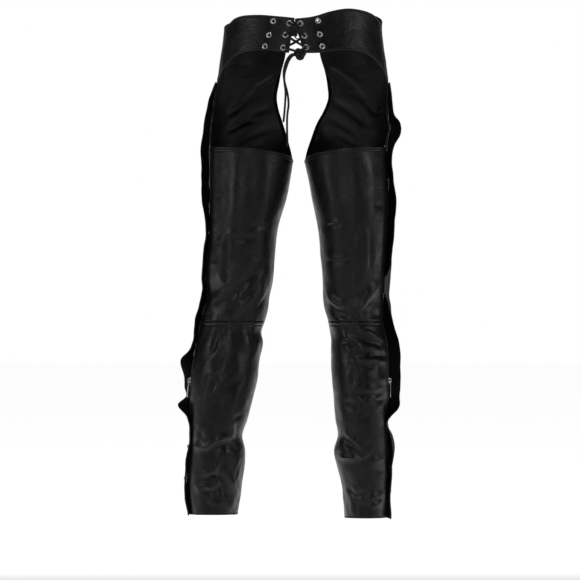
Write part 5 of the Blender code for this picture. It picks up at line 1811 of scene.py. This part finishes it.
@dataclass
class Zip(LegWork):
    """A side zip: its tape, its teeth, its slider and its pull tab."""

    top: float = SEAT_EDGE - 3
    tape_half: float = 9.0
    tape_depth: float = 2.8
    zip_end: float = -752.0
    slider_height: float = -735.0
    slider: tuple[float, ...] = (9.0, 12.0, 2.6)
    crown_tunnel: Place = (5.2, 2.1)
    crown_leg: float = 1.9
    crown_thick: float = 1.1
    crown_wide: float = 2.4
    pull_axis_drop: float = 1.5
    pull_wide: float = 6.4
    pull_long: float = 35.0
    pull_thick: float = 1.2
    pull_bar: float = 1.2
    pull_eye: Place = (3.4, 8.0)
    tooth_pitch: float = 2.1
    slider_corners: Place = (2.4, 2.0)
    plate_share: float = 0.42
    core_shares: Place = (0.62, 0.9)
    pull_corners: tuple[float, ...] = (2.6, 1.2, 1.4)
    grip: tuple[float, ...] = (2.4, 0.5, 0.66, 0.5)
    tooth_reach: float = 1.0
    tooth: tuple[float, ...] = (3.2, 1.0, 1.45)
    top_stop: tuple[float, ...] = (2.4, 3.0, 1.7)
    end_stop: tuple[float, ...] = (5.0, 3.4, 1.8)

    def build(self) -> None:
        """Builds the whole zip."""
        self.build_tape()
        self.build_teeth()
        place = self.leg.frame(self.slider_height, ZIP_ANGLE)
        shift = self.seat(self.build_slider(place), f"zip_slider_{self.leg.name}")
        self.build_pull(shift @ place)

    def seat(self, piece: Piece, node: str) -> Matrix:
        """Moves a piece to its plain part's middle.

        Args:
            piece: the piece.
            node: the plain part.

        Returns:
            The move, in millimetres.
        """
        corners = np.array([tuple(corner) for corner in piece.bound_box])
        here = (corners.min(axis=0) + corners.max(axis=0)) / 2
        move = Vector(np.array(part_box(node)).mean(axis=0) - here)
        piece.data.transform(Matrix.Translation(move))
        return Matrix.Translation(move / MM)

    def build_tape(self) -> None:
        """Builds the tape under the panels' edges."""
        leg = self.leg
        _, levels = rows_down(SEAT_EDGE, self.zip_end, HEMMED, HEMMED)
        columns = spread(2 * self.tape_half, HEMMED, HEMMED, 2.0)
        distances = columns.between(-self.tape_half, self.tape_half, 1.0, 1.0)[None, :]
        angles = leg.from_zip(levels, distances)
        heights = self.heights_at(levels, angles)
        outer = leg.surface(heights, angles, -self.tape_depth)
        inner = leg.surface(heights, angles, -self.tape_depth - LINING)
        cloth = self.shop.finishes.tape
        piece = add_wall(f"side_zip_tape_{leg.name}", (outer, inner), cloth, cloth, np.zeros((1, 1)))
        dress_cloth(piece, Slot.ZIP_TAPE, f"zip_tape_{leg.name}")

    def build_teeth(self) -> None:
        """Builds both rows of teeth, closed above the slider, with their stops."""
        teeth = Assembly()
        count = int((self.top - self.slider_height) / self.tooth_pitch)
        for number in range(2 * count):
            height = self.top - number * self.tooth_pitch / 2
            side = 1 if number % 2 else -1
            self.add_block(teeth, height, side * self.tooth_reach, self.tooth)
        piece = teeth.finish(f"zip_teeth_{self.leg.name}", Matrix.Identity(4), self.shop.finishes.thread)
        dress(piece, "garment", Slot.ZIP_TAPE)
        stops = Assembly()
        for side in (-1, 1):
            self.add_block(stops, self.top + 2.2, side * self.tooth_reach, self.top_stop)
        self.add_block(stops, self.zip_end + 4, 0.0, self.end_stop)
        piece = stops.finish(f"zip_stops_{self.leg.name}", Matrix.Identity(4), self.shop.finishes.zip_metal)
        dress(piece, "garment", Slot.ZIP_METAL)

    def add_block(self, metal: Assembly, height: float, across: float, size: Sequence[float]) -> None:
        """Adds one tooth or stop: a block with a narrower top, across from the zip's middle."""
        wide, tall, thick = size
        place = self.leg.frame(height, float(self.leg.from_zip(height, 0.0)), -self.tape_depth)
        corners = ((-1, -1), (1, -1), (1, 1), (-1, 1))
        points = [(across + x * wide / 2, y * tall / 2, 0.0) for x, y in corners]
        points += [(across + x * wide / 2, y * tall / 2, thick * 0.6) for x, y in corners]
        points += [(across + x * (wide / 2 - 0.3), y * tall * 0.28, thick) for x, y in corners]
        metal.add(points, [(3, 2, 1, 0), (8, 9, 10, 11), *ring_faces(3, 4)], place)

    def build_slider(self, place: Matrix) -> Piece:
        """Builds the slider, with a crown over its face for the pull tab."""
        wide, tall, thick = self.slider
        hollow, rise = self.crown_tunnel
        metal = Assembly()
        plate = thick * self.plate_share
        shape = rounded_box(wide, tall, self.slider_corners[0], waist=0.5)
        for middle in (GAP + plate / 2, GAP + thick - plate / 2):
            metal.add_plate([shape], plate, 0.25, Matrix.Translation((0, 0, middle)))
        narrow, short = self.core_shares
        core = rounded_box(wide * narrow, tall * short, self.slider_corners[1])
        metal.add_plate([core], thick - plate, 0.1, Matrix.Translation((0, 0, GAP + thick / 2)))
        half = hollow / 2 + self.crown_leg
        crest = rise + self.crown_thick
        outer = [(-half, -0.3), (-half, crest * 0.45), *self.arc(half, crest, 0.45)]
        outer += [(half, crest * 0.45), (half, -0.3)]
        inner = [(hollow / 2, -0.3), (hollow / 2, rise * 0.5), *self.arc(hollow / 2, rise, 0.5)[::-1]]
        inner += [(-hollow / 2, rise * 0.5), (-hollow / 2, -0.3)]
        upright = Matrix(((0, 0, 1, 0), (1, 0, 0, 0), (0, 1, 0, GAP + thick), (0, 0, 0, 1)))
        metal.add_plate([np.array(outer + inner)], self.crown_wide, 0.25, upright)
        piece = metal.finish(f"slider_{self.leg.name}", place, self.shop.finishes.zip_metal)
        return dress(piece, "garment", Slot.ZIP_METAL, f"zip_slider_{self.leg.name}")

    def arc(self, half: float, crest: float, start: float) -> list[Place]:
        """Points over the top of an arch, from its left shoulder to its right."""
        turns = np.linspace(math.pi, 0, 13)[1:-1]
        lift = crest * start
        return [(half * math.cos(turn), lift + (crest - lift) * math.sin(turn) ** 0.7) for turn in turns]

    def build_pull(self, place: Matrix) -> None:
        """Builds the pull tab at rest on its hinge."""
        leg = self.leg
        pivot_rise = GAP + self.slider[2] + self.crown_tunnel[1] / 2
        pivot = place @ Matrix.Translation((0, -self.pull_axis_drop, pivot_rise))
        eye_wide, eye_long = self.pull_eye
        wide, long, bar = self.pull_wide, self.pull_long, self.pull_bar
        corner, eye_corner, grip_corner = self.pull_corners
        shape = rounded_box(wide, long, corner, (0, bar / 2 - long / 2))
        eye = rounded_box(eye_wide, eye_long, eye_corner, (0, -bar / 2 - eye_long / 2))
        metal = Assembly()
        metal.add_plate([shape, eye], self.pull_thick, 0.3)
        narrower, share, down, thicker = self.grip
        grip = rounded_box(wide - narrower, long * share, grip_corner, (0, -long * down))
        metal.add_plate([grip], self.pull_thick + thicker, 0.2)
        piece = metal.finish(f"pull_tab_plate_{leg.name}", pivot, self.shop.finishes.zip_metal)
        dress(piece, f"pull_tab_{leg.name}", Slot.ZIP_METAL, f"zip_pull_{leg.name}")


@dataclass
class Lace:
    """The lace: its crossings through the eyelets, its knot and its two free tails."""

    shop: Workshop
    thickness: float = 5.2
    tail: float = 4.4
    hole_bends: tuple[Place, ...] = ((1.8, 0.2), (3.8, 1.3), (4.2, 4.8))
    lift: float = 4.6
    crosses_over: float = 5.3
    knot_centre: tuple[float, ...] = (-7.9, 130.0, -63.0)
    knot_ring: float = 6.5
    knot_turn: float = 3.4
    knot_cord: float = 7.4
    knot_left: tuple[float, ...] = (10.9, -0.5, 6.5)
    knot_right: tuple[float, ...] = (-5.6, -4.8, 9.5)
    step: float = 0.9
    knot_steps: int = 240
    braid: float = 0.07

    def build(self) -> None:
        """Builds the four lengths."""
        crossing = smooth_line(np.array([tuple(point) for point in self.route()], float), self.step)
        self.add("lace_crossings", crossing, self.thickness, False, "lace_crossing")
        self.add("lace_bow_knot", self.knot(), self.knot_cord, True, "lace_knot")
        for name, route in (("lace_tail_long", LONG_TAIL), ("lace_tail_short", SHORT_TAIL)):
            line = smooth_line(np.array(route), self.step)
            piece = self.add(f"{name}_cord", line, self.tail, False, name)

    def add(self, name: str, line: Points, thickness: float, closed: bool, node: str) -> Piece:
        """Adds one length of lace."""
        piece = tube(name, line, thickness / 2, self.braid, self.shop.finishes.lace, closed)
        return dress(piece, "garment", Slot.LACE, node)

    def knot(self) -> Points:
        """The knot's closed line."""
        points = []
        for turn in np.linspace(0, 2 * math.pi, self.knot_steps, endpoint=False):
            reach = self.knot_ring + self.knot_turn * math.cos(3 * turn)
            round_it = 2 * turn - math.pi / 2
            deep = self.knot_turn * math.sin(3 * turn)
            offset = Vector((reach * math.cos(round_it), deep, reach * math.sin(round_it)))
            points.append(tuple(Vector(self.knot_centre) + offset))
        return np.array(points)

    def stop(self, leg: Leg, number: int) -> tuple[Vector, Vector]:
        """The middle of an inner eyelet and its outward direction."""
        place = leg.eyelet_frame(number)
        return place.translation, place.col[2].xyz

    def hole_turn(self, stop: tuple[Vector, Vector], towards: Vector, side: int) -> list[Vector]:
        """Points that leave a hole on one side of the leather and bend over towards a place."""
        place, outward = stop
        along = towards - place
        along = (along - outward * along.dot(outward)).normalized()
        return [place + outward * side * out + along * reach for out, reach in self.hole_bends]

    def route(self) -> list[Vector]:
        """The way through the inner eyelets, from the knot and back to it."""
        left = [self.stop(LEFT, number) for number in range(3)]
        right = [self.stop(RIGHT, number) for number in range(3)]
        knot_left = Vector(self.knot_centre) + Vector(self.knot_left)
        knot_right = Vector(self.knot_centre) + Vector(self.knot_right)
        points = [knot_right, *reversed(self.hole_turn(right[2], knot_right, 1))]
        strands = (
            (right[2], left[1], -1, 0.0),
            (left[1], right[0], 1, 0.0),
            (right[0], left[0], -1, 0.0),
            (left[0], right[1], 1, self.crosses_over),
            (right[1], left[2], -1, self.crosses_over),
        )
        for start, end, side, lift in strands:
            points += self.hole_turn(start, end[0], side)
            outward = (start[1] + end[1]) / 2
            points.append((start[0] + end[0]) / 2 + outward * side * (self.lift + lift))
            points += reversed(self.hole_turn(end, start[0], side))
        return [*points, *self.hole_turn(left[2], knot_left, 1), knot_left]


@dataclass
class FrontClosure:
    """Two straps that meet in a plain ring; the right one is folded back under two snaps."""

    shop: Workshop
    wide: float = 32.0
    height: float = 15.0
    lift: float = 2.2
    ring_bars: Place = (0.0, -28.0)
    ring_tall: float = 42.0
    ring_wire: float = 2.0
    ring_lift: float = 5.6
    ring_corner: float = 4.0
    loop_radius: float = 3.4
    left_ends: Place = (62.0, 40.0)
    right_ends: Place = (-96.0, -88.0)
    snaps: Place = (-62.0, -79.0)
    upper: float = lift + LEATHER + 2 * GAP
    nears: Place = (7.0, lift)
    returns: tuple[Place, ...] = ((6.0, 8.5), (14.0, 5.8), (20.0, upper))
    long: float = 50.0
    step: float = 1.5
    ring_steps: int = 120
    turned_share: float = 0.3
    stitch_rise: float = 0.1

    def place(self, across: Amount, height: Amount, lift: Amount) -> Points:
        """Places on the front of the waist."""
        return LEFT.surface(height, LEFT.angle_of(across, self.height, FRONT), lift)

    def route(self, side: str, bar: float) -> Points:
        """One strap's middle line, as (across, lift): flat, round the ring's bar and back."""
        start, end = self.left_ends if side == "left" else self.right_ends
        away = 1 if start > bar else -1
        near, lift = self.nears
        points = [(start, self.lift), ((start + bar) / 2, self.lift), (bar + away * near, lift)]
        for turn in range(-90, 91, 30):
            angle = math.radians(turn)
            reach = away * self.loop_radius * math.cos(angle)
            points.append((bar - reach, self.ring_lift + self.loop_radius * math.sin(angle)))
        points += [(bar + away * distance, lift) for distance, lift in self.returns]
        if abs(end - bar) > self.long:
            points.append(((points[-1][0] + end) / 2, self.upper))
        return np.array([*points, (end, self.upper)], float)

    def build(self) -> None:
        """Builds the straps, the ring and the two snaps."""
        for side, bar in zip(("left", "right"), self.ring_bars):
            self.build_strap(side, bar)
        self.build_ring()
        face = self.upper + LEATHER / 2
        for number, across in enumerate(self.snaps, start=1):
            place = Vector(self.place(across, self.height, face))
            beside = Vector(self.place(across + 5, self.height, face)) - place
            above = Vector(self.place(across, self.height + 5, face)) - place
            outward = beside.cross(above).normalized()
            if outward.y > 0:
                outward.negate()
            Snap(self.shop, f"snap_front_{number}").build(standing(place, outward, beside.normalized()))

    def build_strap(self, side: str, bar: float) -> None:
        """Builds one strap folded round the ring."""
        line = smooth_line(self.route(side, bar), self.step)
        course = unit(np.gradient(line, axis=0))
        normal = np.stack([-course[:, 1], course[:, 0]], axis=1)
        columns = spread(self.wide, TURNED, TURNED, CELL)
        heights = columns.between(self.height - self.wide / 2, self.height + self.wide / 2, 1.0, 1.0)
        near = np.minimum(columns.from_first, columns.from_last)
        lifts = np.interp(near, TURNED.places, TURNED.lifts) * self.turned_share
        grids = []
        for offset, lift in ((LEATHER / 2, lifts), (-LEATHER / 2, -lifts)):
            rows = line[:, None] + normal[:, None] * (offset + lift)[None, :, None]
            grids.append(self.place(rows[..., 0], heights, rows[..., 1]))
        wear_and_shade = np.clip(0.3 + 0.5 * np.exp(-near / 3), 0, 1)[None, :]
        leather = self.shop.finishes.leather
        piece = add_wall(f"closing_strap_{side}", tuple(grids), leather, leather, wear_and_shade)
        dress_cloth(piece, Slot.LEATHER, f"front_strap_{side}")
        face = int(np.argmin(abs(near - TURNED_ROW)))
        for column in (face, len(heights) - 1 - face):
            for grid, other in (grids, grids[::-1]):
                up = unit(grid[3:-3, column] - other[3:-3, column])
                self.shop.stitching.row(grid[3:-3, column] + up * self.stitch_rise, up)

    def build_ring(self) -> None:
        """Builds the ring."""
        wide = abs(self.ring_bars[0] - self.ring_bars[1])
        centre = (sum(self.ring_bars) / 2, self.height)
        outline = rounded_box(wide, self.ring_tall, self.ring_corner, centre)
        outline = np.concatenate([outline, outline[:1]])
        run = run_of(outline)
        points = read_at(outline, run, np.linspace(0, run[-1], self.ring_steps, endpoint=False))
        line = self.place(points[:, 0], points[:, 1], self.ring_lift)
        piece = tube("strap_ring", line, self.ring_wire, 0.0, self.shop.finishes.ring_metal, True)
        dress(piece, "garment", Slot.RING_METAL, "front_ring")


@dataclass(frozen=True)
class Panel:
    """A soft lamp: where it stands, what it looks at, its size and its strength in watts."""

    name: str
    place: tuple[float, float, float]
    target: tuple[float, float, float]
    size: Place
    watts: float


@dataclass
class Studio:
    """The camera, the soft lamps, the white surround and the floor.

    The surround has its first brightness in front of the wearer and its second elsewhere, and changes from
    one to the other between the two turns.
    """

    camera_place: tuple[float, float, float] = (0.0126, 5.0, -0.546)
    lens: float = 147.8
    floor: float = -1.13
    floor_half: float = 14.0
    panels: tuple[Panel, ...] = (
        Panel("left_lamp", (2.3, 1.1, 0.1), (0.0, 0.0, -0.4), (0.8, 1.2), 9.0),
        Panel("right_lamp", (-2.3, 1.1, 0.1), (0.0, 0.0, -0.4), (0.8, 1.2), 9.0),
        Panel("top_lamp", (0.2, 1.5, 1.9), (0.0, 0.0, -0.3), (1.2, 0.7), 13.0),
        Panel("fill_lamp", (0.5, 3.4, 0.3), (0.0, 0.0, -0.3), (1.2, 0.8), 9.5),
    )
    surround: Place = (1.0, 0.035)
    surround_turns: Place = (-0.985, -0.8)

    def build(self) -> None:
        """Builds the studio."""
        self.build_camera()
        for panel in self.panels:
            self.build_panel(panel)
        self.build_world()
        self.build_floor()
        bpy.context.scene.view_settings.view_transform = "Standard"

    def build_camera(self) -> None:
        """Sets the camera behind the wearer at the middle of the garment's height."""
        camera = bpy.data.cameras.new("camera")
        camera.lens = self.lens
        camera.sensor_width = 36.0
        camera.dof.use_dof = False
        holder = add_object("camera", camera)
        holder.location = self.camera_place
        holder.rotation_euler = (math.radians(90), 0, math.radians(180))
        bpy.context.scene.camera = holder

    def build_panel(self, panel: Panel) -> None:
        """Adds one soft lamp."""
        light = bpy.data.lights.new(panel.name, "AREA")
        light.shape = "RECTANGLE"
        light.size, light.size_y = panel.size
        light.energy = panel.watts
        holder = add_object(panel.name, light)
        holder.location = panel.place
        look = Vector(panel.target) - Vector(panel.place)
        holder.rotation_euler = look.to_track_quat("-Z", "Y").to_euler()

    def build_world(self) -> None:
        """Makes a surround that is white to look at and lights mainly from in front of the wearer."""
        bench = Bench("surround", surround=True)
        bpy.context.scene.world = bench.holder
        axes = bench.add("ShaderNodeSeparateXYZ", {"Vector": bench.place})
        bright, dim = self.surround
        low, high = self.surround_turns
        limits = {"From Min": low, "From Max": high, "To Min": bright, "To Max": dim}
        inputs = {"Value": axes.outputs["Y"], **limits}
        reach = bench.add("ShaderNodeMapRange", inputs, interpolation_type="SMOOTHSTEP")
        seen = bench.add("ShaderNodeLightPath", {}).outputs["Is Camera Ray"]
        strength = bench.reckon("MAXIMUM", reach.outputs["Result"], seen)
        bench.fill(bench.shader.inputs["Color"], (1, 1, 1, 1))
        bench.fill(bench.shader.inputs["Strength"], strength)

    def build_floor(self) -> None:
        """Adds a plain pale floor below the hem."""
        far = self.floor_half
        corners = [(x * far, y * far, self.floor) for x, y in ((-1, -1), (1, -1), (1, 1), (-1, 1))]
        mesh = bpy.data.meshes.new("floor")
        mesh.from_pydata(corners, [], [(0, 1, 2, 3)])
        mesh.materials.append(FloorFinish("pale_floor").material())
        add_object("floor", mesh)


def main() -> None:
    """Dresses the garment and sets up its picture."""
    logging.basicConfig(level=logging.INFO, format="%(message)s")
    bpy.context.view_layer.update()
    Studio().build()
    shop = Workshop(make_finishes(), Stitching())
    Lace(shop).build()
    for leg in (LEFT, RIGHT):
        LOG.info("making the %s leg", leg.name)
        Yoke(shop, leg).build()
        FrontLeg(shop, leg).build()
        Lining(shop, leg).build()
        thigh_end = KNEE_SEAM + GAP / 2
        BackPanel(shop, leg, "back_thigh", SEAT_EDGE, thigh_end, TWICE_SEWN, SEWN).build()
        BackPanel(shop, leg, "back_calf", KNEE_SEAM - GAP / 2, leg.hem, LAPPED, TURNED).build()
        StormFlap(shop, leg).build()
        Zip(shop, leg).build()
    FrontClosure(shop).build()
    shop.stitching.finish("stitches", shop.finishes.thread)


if __name__ == "__main__":
    main()
